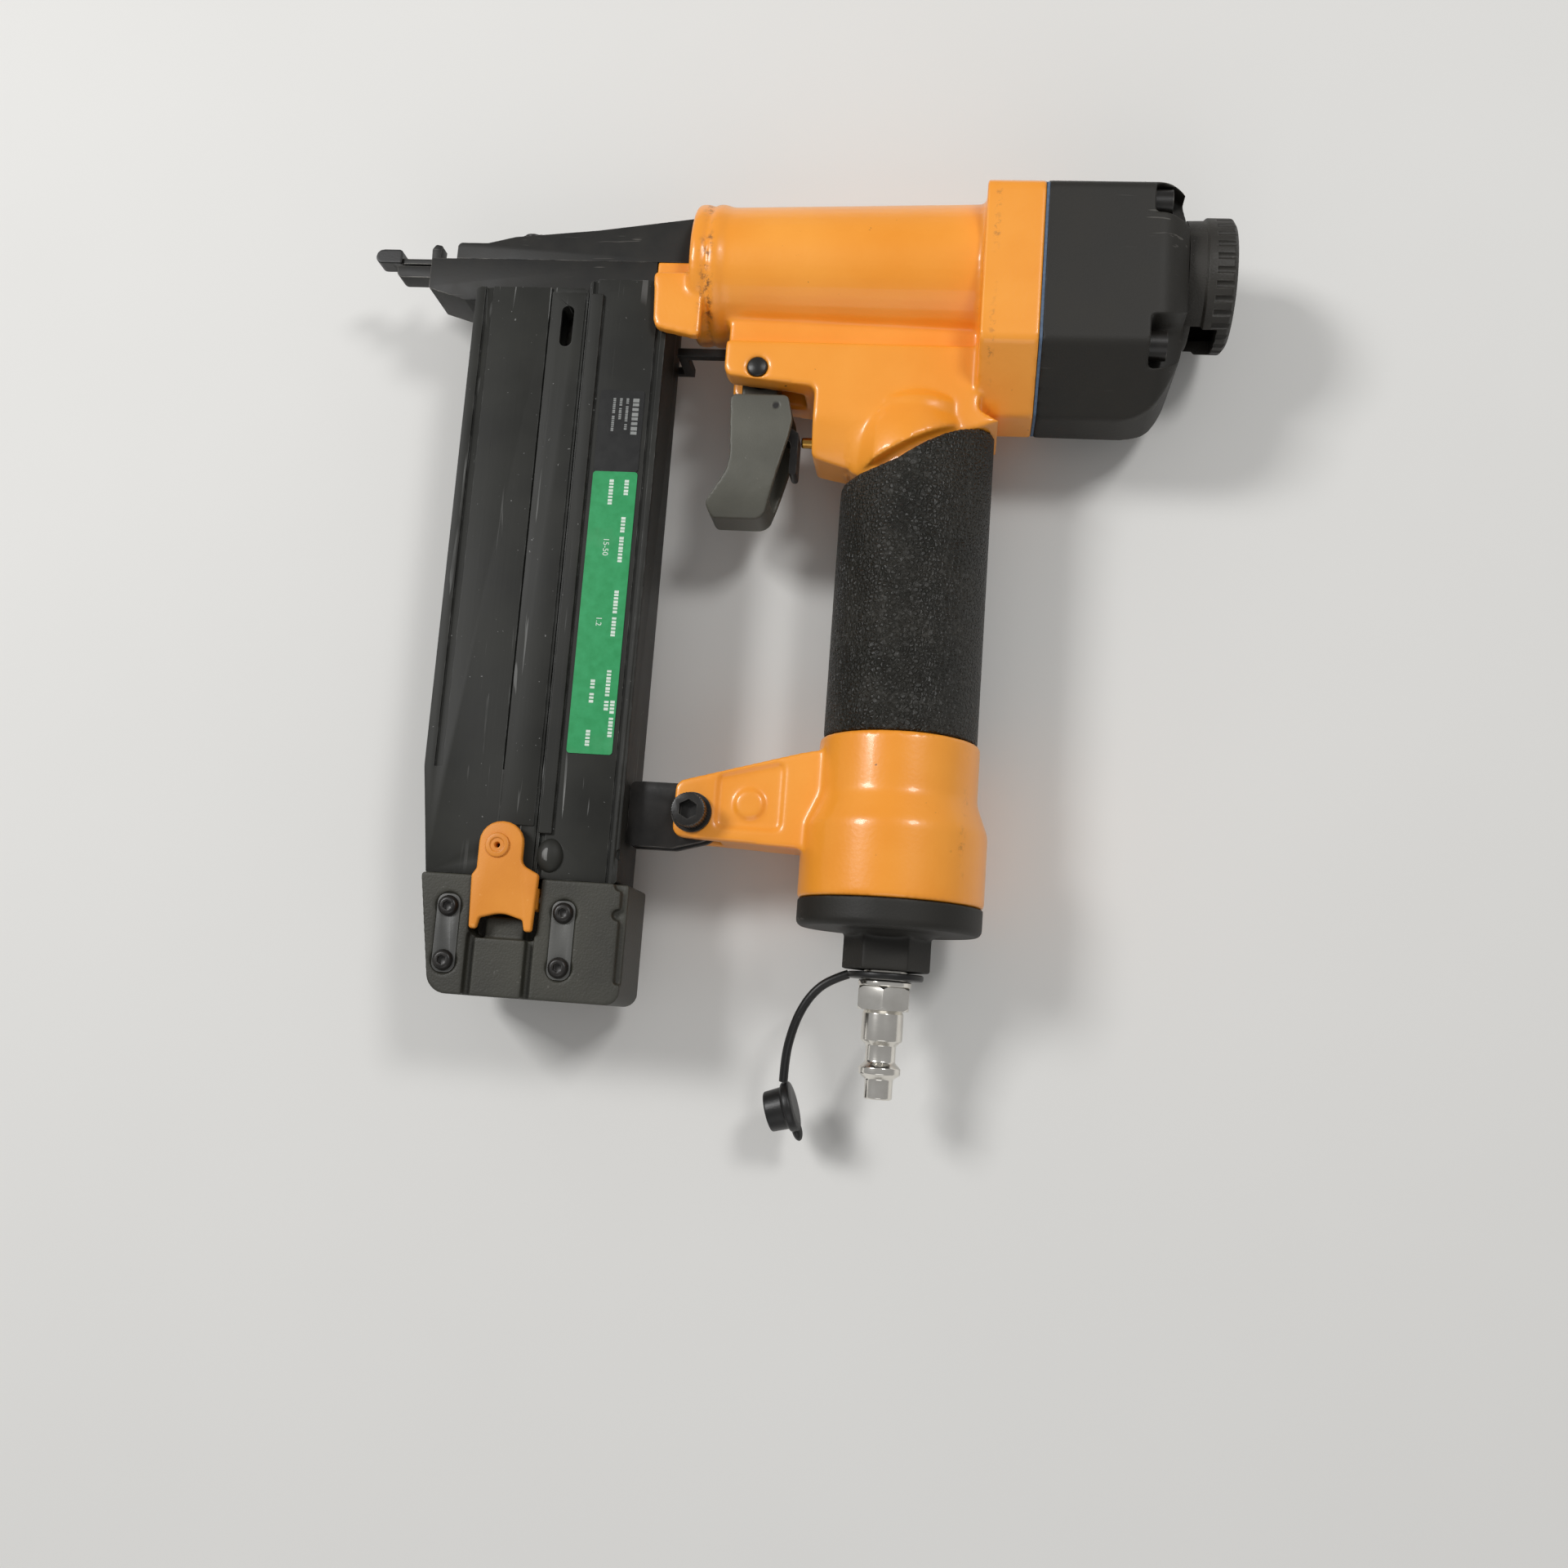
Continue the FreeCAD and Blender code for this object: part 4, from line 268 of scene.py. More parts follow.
def plate(name, outline, low, high, across="Z"):
    """Plate between two heights: an XY outline across Z, or a YZ outline across X."""
    def place(point, height):
        return (point[0], point[1], height) if across == "Z" else (height, point[0], point[1])
    item = loop(name, [place(point, low) for point in rounded(outline)], "NGON")
    edit(item)
    step = Vector(place((0, 0), high - low)) * MM
    bpy.ops.mesh.extrude_region_move(TRANSFORM_OT_translate={"value": step})
    bpy.ops.object.mode_set(mode="OBJECT")
    return clean(item)


AXES = {"X": (1, 0, 0), "Y": (0, 1, 0), "Z": (0, 0, 1)}


def turned(name, profile, along, foot, steps=64):
    """A (radius, distance) profile turned about a line through foot along X, Y or Z."""
    places = []
    for radius, distance in rounded(profile, 4):
        x, y, z = foot
        places.append({"X": (x + distance, y + radius, z), "Y": (x + radius, y + distance, z),
                       "Z": (x + radius, y, z + distance)}[along])
    item = loop(name, places, "NOTHING")
    edit(item)
    bpy.ops.mesh.spin(steps=steps, angle=math.tau, center=at(*foot), axis=AXES[along])
    bpy.ops.object.mode_set(mode="OBJECT")
    return clean(item)


def rod(name, radius, start, along, length, sides=32):
    """A plain round bar, for cutting with."""
    middle = Vector(start) + Vector(AXES[along]) * length / 2
    turn = {"X": (0, math.pi / 2, 0), "Y": (math.pi / 2, 0, 0), "Z": (0, 0, 0)}[along]
    bpy.ops.mesh.primitive_cylinder_add(vertices=sides, radius=radius * MM, depth=length * MM,
                                        location=at(*middle), rotation=turn)
    item = bpy.context.object
    item.name = name
    bpy.ops.object.transform_apply(location=True, rotation=True, scale=True)
    return item


def carve(item, *tools):
    """Cuts the tools out of a piece one after another and clears them away."""
    for tool in tools:
        modify(item, "BOOLEAN", operation="DIFFERENCE", object=tool, solver="EXACT")
        bpy.data.objects.remove(tool)
    return item


def fuse(item, *tools):
    """Adds solid pieces to a piece as one skin."""
    for tool in tools:
        modify(item, "BOOLEAN", operation="UNION", object=tool, solver="EXACT")
        bpy.data.objects.remove(tool)
    return item


# %% [markdown]
# A few pieces have a frame shape that only wants softer edges. For those, a copy
# of the frame's mesh is merged, because it comes as loose triangles. A machined
# piece then gets its flat faces back and a bevel. A casting is wrapped in a skin
# of small even cells and smoothed, which rounds each edge and fills each inner
# corner with the fillet that a mould leaves.

# %% Copies that are bevelled or cast


def merged_copy(node, name):
    """A copy of a frame mesh with its loose triangles merged."""
    item = bpy.data.objects.new(name, NODES[node].data.copy())
    item.data.materials.clear()
    bpy.context.collection.objects.link(item)
    return clean(item, 0.02)


def machined(node, name, width=0.4, segments=2):
    """A softened copy of a piece with mostly flat faces."""
    item = merged_copy(node, name)
    edit(item)
    bpy.ops.mesh.dissolve_limited(angle_limit=math.radians(1.5))
    bpy.ops.object.mode_set(mode="OBJECT")
    return shade(bevel(item, width, segments))


def cast(item, cell, rounds, triangles):
    """Wraps a piece in an even skin, smooths it and thins its flat parts."""
    modify(item, "REMESH", mode="VOXEL", voxel_size=cell * MM, use_smooth_shade=True)
    modify(item, "SMOOTH", factor=0.5, iterations=rounds)
    count = sum(len(face.vertices) - 2 for face in item.data.polygons)
    if count > triangles:
        modify(item, "DECIMATE", ratio=triangles / count)
    only(item)
    bpy.ops.object.shade_smooth()
    print(item.name, "cells", count, "kept", len(item.data.polygons))
    return item


PIECES = []


def dress(item, body, slot, finish, *nodes):
    """Ties a finished piece to its body, its finish and the nodes it stands for."""
    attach(item, body)
    if nodes:
        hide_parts(*nodes)
    PIECES.append((item, finish))
    return item


# %% [markdown]
# The strap is the first piece to be finished: its round curve becomes a mesh.

# %% Finish the strap
only(strap)
bpy.ops.object.convert(target="MESH")
shade(clean(strap, 0.02))
dress(strap, "tool", "strap_rubber", "rubber_moulding", "tether_strap")

# %% [markdown]
# ## The housing
# The orange body is one casting: barrel, flange, trigger web, handle and tank.
# Beads round the front of the barrel and a dome where the handle swells out of
# the web are turned or shaped as solids of their own. They are joined to the
# copy, and the skin wraps all of it into one metal surface with soft fillets.
# Last, the front lower corner of the valve boss is lifted and narrowed.

# %% Housing
DOME_RADIUS = 21.3
DOME_PLACE, DOME_STRETCH = (-36.0, -62.0), (0.98, 1.25)
BOSS_TOP, BOSS_FRONT = -50, -47
BOSS_HEIGHT, BOSS_LENGTH = 18, 8
BOSS_FLOOR = -75
BOSS_LIFT, BOSS_NARROWING = 4.5, 0.5

housing = merged_copy("main_housing", "housing_casting")
beads = turned("barrel_beads", [(19.0, -105.8), (20.6, -105.8, 0.8), (21.1, -104.4, 0.6),
                                (21.1, -101.9, 0.5), (20.2, -101.2), (20.2, -100.4),
                                (21.2, -99.8, 0.5), (21.2, -97.6, 1.2), (20.3, -94.8),
                                (19.0, -94.8)], "X", (0, 0, 0), 96)

bpy.ops.mesh.primitive_uv_sphere_add(segments=48, ring_count=32, radius=DOME_RADIUS * MM)
dome = bpy.context.object
dome.name = "handle_dome"
for vertex in dome.data.vertices:
    x, y, z = vertex.co / MM
    vertex.co = at(DOME_PLACE[0] + x * DOME_STRETCH[0], DOME_PLACE[1] + y * DOME_STRETCH[1], z)
edit(dome)
bpy.ops.mesh.bisect(plane_co=at(-57, -69), plane_no=(0.45, -0.89, 0), clear_outer=True,
                    use_fill=True)
bpy.ops.object.mode_set(mode="OBJECT")

flange_lip = plate("flange_lip", [(24.0, 17.0, 3), (18.0, 27.0, 3), (-30.0, 27.0, 3),
                                  (-46.0, 8.0, 3), (-46.0, -8.0, 3), (-30.0, -27.0, 3),
                                  (18.0, -27.0, 3), (24.0, -17.0, 3)], -14.4, -4, "X")
housing = join("housing_casting", housing, beads, dome, flange_lip)
cast(housing, 0.75, 7, 185000)
for vertex in housing.data.vertices:
    x, y, z = (vertex.co - HEAD_JOINT) / MM
    low = (min(max((BOSS_TOP - y) / BOSS_HEIGHT, 0), 1)
           * min(max((BOSS_FRONT - x) / BOSS_LENGTH, 0), 1))
    if y > BOSS_FLOOR:
        vertex.co = at(x, y + BOSS_LIFT * low ** 2, z * (1 - BOSS_NARROWING * low))
dress(housing, "tool", "orange_paint", "orange_enamel", "main_housing")

# %% [markdown]
# The fibre gasket between housing and cap shows only as a thin line, and its
# frame shape is right, so it just gets its own finish later.
#
# ## Head cap and exhaust knob
# The cap is a casting too, with softer edges than the machined joint, and its
# rear end is drawn in to a shallow dome. The knob is turned, then scalloped with
# a ring of small cutters, so that fingers can turn it, and it has a slot that
# lets the spent air out to one side.

# %% Head cap
cap = merged_copy("head_cap", "cap_casting")
cast(cap, 0.6, 5, 150000)
ROUND_FROM, ROUND_LENGTH = 31.0, 9.2
DRAWN_IN_HEIGHT, DRAWN_IN_WIDTH = 0.16, 0.24
for vertex in cap.data.vertices:
    x, y, z = (vertex.co - HEAD_JOINT) / MM
    over = max(0.0, x - ROUND_FROM) / ROUND_LENGTH
    vertex.co = at(x, y * (1 - DRAWN_IN_HEIGHT * over ** 2), z * (1 - DRAWN_IN_WIDTH * over ** 2))
dress(cap, "tool", "black_paint", "cap_enamel", "head_cap")

# %% Knob
knob = turned("deflector_knob", [(4.6, 50.0), (4.6, 54.3), (17.8, 54.5, 1.2), (19.5, 53.2, 0.8),
                                 (19.5, 46.2, 0.7), (18.7, 45.4), (18.6, 40.6), (15.8, 40.6),
                                 (15.6, 51.4, 1.5), (6.5, 51.4), (6.5, 40.6), (2.6, 40.6),
                                 (2.6, 50.0)], "X", (0, 0, 0), 144)
GRIP_COUNT, GRIP_RADIUS, GRIP_CIRCLE, GRIP_START = 30, 1.15, 19.9, 48.4
grips = []
for i in range(GRIP_COUNT):
    around = math.tau * (i + 0.5) / GRIP_COUNT
    start = (GRIP_START, GRIP_CIRCLE * math.cos(around), GRIP_CIRCLE * math.sin(around))
    grips.append(rod("scallop", GRIP_RADIUS, start, "X", 8, 16))
port = plate("port_cutter", [(42.6, -8.2, 1.5), (42.6, -30.0), (50.4, -30.0), (50.4, -8.2, 1.5)],
             -8.5, 8.5)
carve(knob, join("scallops", *grips), port)
bevel(knob, 0.25, 2, 30)
shade(knob, 40)
dress(knob, "deflector", "black_plastic", "knob_moulding", "exhaust_deflector")

# %% [markdown]
# ## The rubber grip
# The sleeve is pushed on from below and ends in a slanted lip under the web. A
# smoothed skin rounds its lips; the pebbled surface is left to the finish,
# because its grains are well under a millimetre high.

# %% Grip
grip = merged_copy("grip_sleeve", "grip_moulding")
cast(grip, 0.7, 7, 120000)
dress(grip, "tool", "grip_rubber", "pebbled_rubber", "grip_sleeve")

# %% [markdown]
# ## Tank cap and air plug
# The black cap screws into the tank with a flange, a flared neck and a hexagon
# for a spanner. The plug is turned bar with a hexagon and the groove that a
# coupler's balls snap into, and it is nickel plated.

# %% Tank cap
tank_cap = merged_copy("tank_end_cap", "tank_cap_casting")
cast(tank_cap, 0.42, 5, 120000)
dress(tank_cap, "tool", "black_paint", "cap_enamel", "tank_end_cap")

# %% Air plug
PLUG_FOOT = (HANDLE, 0, 0)
plug_bar = turned("plug_bar", [(2.8, -197.0), (6.15, -197.0), (6.15, -212.6), (7.6, -212.8, 0.5),
                               (7.6, -214.4, 0.5), (6.0, -214.8), (6.0, -221.2), (5.4, -221.3),
                               (5.9, -222.1, 0.3), (5.9, -229.6, 0.5), (4.3, -231.0, 0.6),
                               (4.3, -235.6, 1.0), (5.2, -236.4, 0.4), (5.95, -237.2, 0.5),
                               (5.95, -238.9, 0.5), (4.0, -240.4, 0.8), (4.0, -245.6, 0.4),
                               (3.6, -246.0, 0.2), (2.8, -246.0)], "Y", PLUG_FOOT, 72)
HEX_ACROSS = 14.3
HEX_CORNER = HEX_ACROSS / math.sqrt(3)
HEX_TOP, HEX_LENGTH = -214.6, 6.5
plug_hex = loop("plug_hex", [(HANDLE + HEX_CORNER * math.sin(math.radians(60 * i)), HEX_TOP,
                              HEX_CORNER * math.cos(math.radians(60 * i))) for i in range(6)],
                "NGON")
edit(plug_hex)
bpy.ops.mesh.extrude_region_move(TRANSFORM_OT_translate={"value": (0, -HEX_LENGTH * MM, 0)})
bpy.ops.object.mode_set(mode="OBJECT")
clean(plug_hex)
chamfer = turned("hex_chamfer", [(7.5, -214.5), (12.0, -214.5), (12.0, -221.2), (7.5, -221.2),
                                 (8.3, -220.2), (8.3, -215.5)], "Y", PLUG_FOOT, 72)
carve(plug_hex, chamfer, rod("bore", 5.0, (HANDLE, -223, 0), "Y", 10))
bevel(plug_hex, 0.12, 2, 20)
plug = join("plug_turning", plug_bar, plug_hex)
shade(plug, 30)
dress(plug, "tool", "chrome_plate", "bright_plate", "air_plug")

# %% [markdown]
# ## Tether ring and dust cap
# Ring, strap and cap are one soft black moulding. The ring is turned with a
# rounded rim. The cap is turned upright, given the little neck that the strap
# grows out of, and then laid over to the way that it hangs.

# %% Ring
ring = turned("tether_loop", [(6.4, -210.6, 0.3), (10.9, -210.6, 0.6), (10.9, -212.4, 0.6),
                              (6.4, -212.4, 0.3)], "Y", PLUG_FOOT, 72)
shade(ring, 50)
dress(ring, "tool", "strap_rubber", "rubber_moulding", "tether_ring")

# %% Dust cap
CAP_AXIS = Vector((-0.95, -0.3, -0.06)).normalized()
CAP_ASIDE, CAP_BACK = 7.8, 1.5
NECK_RADIUS, NECK_PLACE, NECK_STRETCH = 1.9, (-7.2, 0, 1.5), (1.7, 1.25, 0.78)

dust = turned("dust_cap_moulding", [(0.0, 1.6), (0.0, 0.2), (5.0, 0.0, 0.8), (7.3, 0.3, 0.8),
                                    (7.3, 2.7, 0.9), (6.1, 3.0, 0.5), (5.8, 8.2, 0.6),
                                    (4.4, 8.5, 0.5), (4.2, 2.2, 0.4), (0.0, 2.0)], "Z",
              (0, 0, 0), 64)
clean(dust, 0.05)
STRAP_END = Vector(STRAP[-1])
strap_run = (STRAP_END - Vector(STRAP[-2])).normalized()
cap_side = (strap_run - CAP_AXIS * strap_run.dot(CAP_AXIS)).normalized()
cap_centre = STRAP_END + cap_side * CAP_ASIDE - CAP_AXIS * CAP_BACK
bpy.ops.mesh.primitive_uv_sphere_add(segments=24, ring_count=16, radius=NECK_RADIUS * MM)
neck = bpy.context.object
for vertex in neck.data.vertices:
    vertex.co = at(*(middle + value / MM * stretch for middle, value, stretch
                     in zip(NECK_PLACE, vertex.co, NECK_STRETCH)))
dust = fuse(dust, neck)
turn = Matrix((-cap_side, CAP_AXIS.cross(-cap_side), CAP_AXIS)).transposed()
for vertex in dust.data.vertices:
    vertex.co = at(*(cap_centre + turn @ ((vertex.co - HEAD_JOINT) / MM)))
shade(dust, 45)
dress(dust, "tool", "strap_rubber", "rubber_moulding", "dust_cap")

# %% [markdown]
# The strap is a free piece of flexible stock, with the cap on its end.

# %% [markdown]
# ## Trigger and its pin
# The trigger is a grey moulding with a hollow back. Its foot narrows to a round
# end, and its edges are worn soft, so it is tapered and wrapped in a fine skin.
# The pin that it turns on is a plain bar whose end shows as a black dot on the
# web.

# %% Trigger
TAPER_FROM, TAPER_LENGTH, TAPER, TAPER_CURVE = 62.0, 17.5, 0.42, 2.5
trigger = merged_copy("trigger", "trigger_moulding")
edit(trigger)
bpy.ops.mesh.subdivide(number_cuts=5)
bpy.ops.object.mode_set(mode="OBJECT")
for vertex in trigger.data.vertices:
    below = max(0.0, (HEAD_JOINT.y - vertex.co.y) / MM - TAPER_FROM) / TAPER_LENGTH
    width = 1 - TAPER * below ** TAPER_CURVE
    vertex.co.z = HEAD_JOINT.z + (vertex.co.z - HEAD_JOINT.z) * width
cast(trigger, 0.36, 12, 90000)
dress(trigger, "trigger", "grey_plastic", "grey_moulding", "trigger")

# %% Trigger pin
pin = turned("pivot_pin", [(0, -14.4), (2.5, -14.4), (3.0, -14.0, 0.3), (3.0, 14.0, 0.3),
                           (2.5, 14.4), (0, 14.4)], "Z", (-83.5, -35, 0), 48)
clean(pin, 0.05)
shade(pin, 40)
dress(pin, "tool", "black_steel", "black_oxide", "trigger_pin")

# %% [markdown]
# ## Magazine
# The magazine is two drawn sections of aluminium, one fixed and one that slides
# down to load brads. Each is a bevelled copy with the shallow steps of the real
# section laid on: a raised strip beside the window, a half-round rail along the
# joint with a round stop at its foot, and a notch in the back edge.

# %% Fixed magazine
NOTCH_RADIUS = 1.6
STOP_PLACE, STOP_SIZE = (-132.4, -184.2, 11.6), (3.9, 5.0, 2.6)
fixed = machined("fixed_magazine", "fixed_section", 0.35)
rail = plate("half_round_rail", [(-136.3, -12.6, 0.4), (-132.3, -12.6, 0.4),
                                 (-132.3, -178.0, 0.4), (-136.3, -178.0, 0.4)], 11.4, 13.1)
bevel(rail, 1.2, 5, 50)
bpy.ops.mesh.primitive_uv_sphere_add(segments=32, ring_count=20, radius=1.0)
stop = bpy.context.object
stop.name = "slide_stop"
for vertex in stop.data.vertices:
    vertex.co = at(*(middle + size * value for middle, size, value
                     in zip(STOP_PLACE, STOP_SIZE, vertex.co)))
fuse(fixed, rail, stop)
carve(fixed, rod("notch", NOTCH_RADIUS, (-112.0, -182.6, 10.6), "Z", 4, 24))
shade(fixed)
dress(fixed, "tool", "magazine_paint", "drawn_section", "fixed_magazine")

# %% Sliding magazine
slider = machined("sliding_magazine", "sliding_section", 0.35)
step = plate("raised_strip", [(-148.4, -12.0, 0.4), (-137.9, -12.0, 0.4), (-137.9, -176.0, 0.4),
                              (-148.4, -176.0, 0.4)], 11.5, 12.35)
bevel(step, 0.2, 2, 50)
window = plate("window_cutter", [(-144.9, -16.5, 1.85), (-141.1, -16.5, 1.85),
                                 (-141.1, -29.5, 1.85), (-144.9, -29.5, 1.85)], 7, 14)
fuse(slider, step)
carve(slider, window)
shade(slider)
dress(slider, "magazine_slide", "magazine_paint", "drawn_section", "sliding_magazine")

# %% [markdown]
# ## Magazine end cap
# A moulded nylon foot closes the slide. Round wells take the screw heads, two
# steel strips spread their load, and a block with gaps on both sides stands
# between them where the latch drops in.

# %% End cap
SCREW_COLUMNS, SCREW_ROWS = (-160.2, -126.5), (-200.5, -216.0)
SCREWS = [(x, y) for x in SCREW_COLUMNS for y in SCREW_ROWS]
foot = merged_copy("magazine_end_cap", "foot_moulding")
cutters = [rod("screw_well", 4.0, (x, y, 12.5), "Z", 3, 40) for x, y in SCREWS]
for x in (-152.9, -135.6):
    cutters.append(plate("block_gap", [(x - 1.2, -207.5, 0.6), (x + 1.2, -207.5, 0.6),
                                       (x + 1.2, -227), (x - 1.2, -227)], 10.6, 15))
for y in (-191.6, -200.0):
    cutters.append(rod("notch", NOTCH_RADIUS, (-111.0, y, 11.4), "Z", 4, 24))
cutters.append(plate("edge_step", [(-110.4, -188.0), (-103.0, -188.0), (-103.0, -219.5, 0.5),
                                   (-110.4, -219.5, 0.5)], 11.6, 15))
carve(foot, *cutters)
tongue = plate("gate_tongue", [(-149.6, -202.6, 1), (-138.0, -202.6, 1), (-138.0, -211.0, 1),
                               (-149.6, -211.0, 1)], 4.6, 11.0)
bevel(tongue, 0.6, 3, 50)
foot = join("foot_moulding", foot, tongue)
cast(foot, 0.4, 9, 150000)
dress(foot, "magazine_slide", "black_plastic", "moulded_black", "magazine_end_cap")

# %% End cap screws


def button_screw(name, x, y):
    """A round-headed screw with a socket."""
    item = turned(name, [(0, 2.0), (1.6, 2.0), (1.6, 13.4), (3.0, 13.5), (3.0, 13.9, 0.3),
                         (2.3, 15.05, 0.9), (0, 15.1)], "Z", (x, y, 0), 40)
    clean(item, 0.05)
    socket = rod("socket", 1.35, (x, y, 14.0), "Z", 3, 6)
    return carve(item, socket)


foot_screws = join("foot_button_screws", *(button_screw("foot_screw", x, y) for x, y in SCREWS))
bevel(foot_screws, 0.1, 2, 40)
shade(foot_screws, 35)
dress(foot_screws, "magazine_slide", "bright_steel", "black_oxide", "end_cap_screws")

# %% Strips under the screws
strips = []
for x in SCREW_COLUMNS:
    strip = plate("strip", [(x - 3.4, -197.0, 2.6), (x + 3.4, -197.0, 2.6),
                            (x + 3.4, -219.5, 2.6), (x - 3.4, -219.5, 2.6)], 12.5, 13.4)
    strips.append(carve(strip, *(rod("hole", 1.7, (x, y, 11), "Z", 4) for y in SCREW_ROWS)))
strips = join("foot_strips", *strips)
bevel(strips, 0.15, 2)
shade(strips)
dress(strips, "magazine_slide", "black_steel", "grey_strip", "end_cap_strips")

# %% [markdown]
# ## Latch
# A bent orange tongue under the thumb. It is cut from plate with its waist and
# its two legs, its edges are rolled over with a bevel, and the knuckle that
# holds the pin is joined below. A rivet with a small hole sits in its tab.

# %% Latch
RIVET = (-146.8, -182.5)
latch_tab = plate("latch_tongue", [(-152.4, -175.5, 6.2), (-139.4, -175.5, 6.2),
                                   (-139.4, -187.6, 3.0), (-134.1, -190.2, 1.2),
                                   (-134.7, -206.6, 0.9), (-136.9, -206.6, 0.9),
                                   (-137.6, -203.4, 1.0), (-143.9, -201.6, 9.0),
                                   (-150.2, -203.4, 1.0), (-150.9, -206.6, 0.9),
                                   (-153.0, -206.6, 0.9), (-153.7, -191.4, 1.2),
                                   (-152.4, -189.4, 2.0)], 14.0, 16.4)
bevel(latch_tab, 0.8, 4, 50)
knuckle = plate("latch_knuckle", [(-153.2, -193.8, 0.8), (-134.4, -193.8, 0.8),
                                  (-134.4, -200.3, 0.8), (-153.2, -200.3, 0.8)], 6.8, 15.0)
bevel(knuckle, 0.8, 3, 50)
latch = fuse(latch_tab, knuckle)
latch.name = "latch_tongue"
eye = rod("pin_eye", 1.35, (-158, -197, 10), "X", 30)
well = rod("rivet_hole", 1.55, (*RIVET, 10), "Z", 8)
carve(latch, eye, well)
shade(latch, 40)
dress(latch, "latch", "orange_plastic", "orange_moulding", "latch")

# %% Rivet
rivet = turned("latch_rivet_head", [(0.7, 13.6), (1.4, 13.6), (1.4, 16.3), (3.6, 16.4, 0.2),
                                    (3.5, 17.1, 0.5), (2.2, 17.2, 0.3), (1.9, 16.8, 0.2),
                                    (0.9, 16.9, 0.3), (0.7, 16.2)], "Z", (*RIVET, 0), 48)
shade(rivet, 40)
dress(rivet, "latch", "orange_paint", "rivet_head", "latch_rivet")

# %% [markdown]
# ## Bolt and bracket
# A socket-head bolt with a knurled rim holds the magazine to the arm. The
# knurl is made from a cylinder with twice as many sides as it has teeth, every
# other column of points pushed in. It is modelled once, with its socket cut.

# %% Bolt
BOLT = (-92.6, -169.0)
HEAD_RADIUS, HEAD_HEIGHT, SEAT_HEIGHT, SHANK_END = 5.0, 6.0, 11.4, -15.0
TEETH, TOOTH_DEPTH = 36, 0.35
SOCKET_RADIUS, SOCKET_DEPTH = 2.9, 3.0
bpy.ops.mesh.primitive_cylinder_add(vertices=TEETH * 2, radius=HEAD_RADIUS * MM,
                                    depth=HEAD_HEIGHT * MM,
                                    location=at(*BOLT, SEAT_HEIGHT + HEAD_HEIGHT / 2))
bolt = bpy.context.object
bolt.name = "knurled_bolt"
bpy.ops.object.transform_apply(location=True, rotation=True, scale=True)
axis_point = at(*BOLT)
for vertex in bolt.data.vertices:
    away = Vector((vertex.co.x - axis_point.x, vertex.co.y - axis_point.y, 0))
    tooth = round(math.atan2(away.y, away.x) / math.tau * TEETH * 2)
    if tooth % 2:
        vertex.co -= away.normalized() * TOOTH_DEPTH * MM
bevel(bolt, 0.35, 2, 60)
fuse(bolt, rod("bolt_shank", 3.0, (*BOLT, SHANK_END), "Z", SEAT_HEIGHT - SHANK_END + 1))
carve(bolt, rod("socket", SOCKET_RADIUS, (*BOLT, SEAT_HEIGHT + HEAD_HEIGHT - SOCKET_DEPTH), "Z",
                5, 6))
shade(bolt, 25)
dress(bolt, "tool", "black_steel", "black_oxide", "magazine_bolt")

# %% Bracket
bracket = machined("magazine_bracket", "bent_bracket", 0.35)
dress(bracket, "tool", "black_steel", "black_oxide", "magazine_bracket")

# %% [markdown]
# ## Nose
# The nose is a stack of blackened steel: the driver guide behind, the front
# plate with its screws, and the contact arm that slides between them with a
# soft tip. They are ground pieces, so their edges are crisp with a thin bevel.

# %% Nose pieces
guide = machined("driver_guide", "guide_block", 0.3)
dress(guide, "tool", "black_steel", "nose_steel", "driver_guide")
front_plate = machined("nose_front_plate", "front_plate", 0.4)
hump = plate("plate_hump", [(-162.0, 6.0), (-161.0, 8.9, 0.8), (-155.0, 9.4, 0.8),
                            (-153.5, 7.6)], -7.4, 7.4)
bevel(hump, 0.4, 2)
front_plate = join("front_plate", front_plate, hump)
shade(front_plate)
dress(front_plate, "tool", "black_steel", "nose_steel", "nose_front_plate")

# %% Contact arm and its tip
arm = machined("contact_arm", "contact_slide", 0.25)
hook = plate("arm_hook", [(-191.6, 2.4), (-191.8, 6.4, 1.2), (-190.6, 8.0, 0.8),
                          (-188.4, 7.6, 0.8), (-188.6, 2.4)], -2.4, 2.4)
bevel(hook, 0.35, 2)
arm = join("contact_slide", arm, hook)
shade(arm)
dress(arm, "contact_arm", "black_steel", "nose_steel", "contact_arm")
tip = merged_copy("no_mar_tip", "soft_tip")
cast(tip, 0.22, 8, 40000)
dress(tip, "contact_arm", "tip_plastic", "rubber_moulding", "no_mar_tip")

# %% [markdown]
# ## Labels
# Two stickers lie end to end down the magazine. They carry no words: rows of
# small blocks stand where print would be, and the only figures are a plain range
# of brad lengths and a wire thickness. The figures are text turned into mesh
# before they are put in place.

# %% Printed marks
INK_FOOT, INK_TOP = 12.25, 12.29


def ink_row(x, y, letters, height):
    """A row of small blocks that reads down the magazine like a line of print."""
    blocks = []
    for i in range(letters):
        if (i * 5 + letters) % 9 == 4:
            continue
        top = y - i * height * 0.78
        foot = top - height * (0.5 if i % 3 else 0.62)
        shape = [(x - height / 2, foot), (x + height / 2, foot), (x + height / 2, top),
                 (x - height / 2, top)]
        blocks.append(plate("ink", shape, INK_FOOT, INK_TOP))
    return join("ink_row", *blocks)


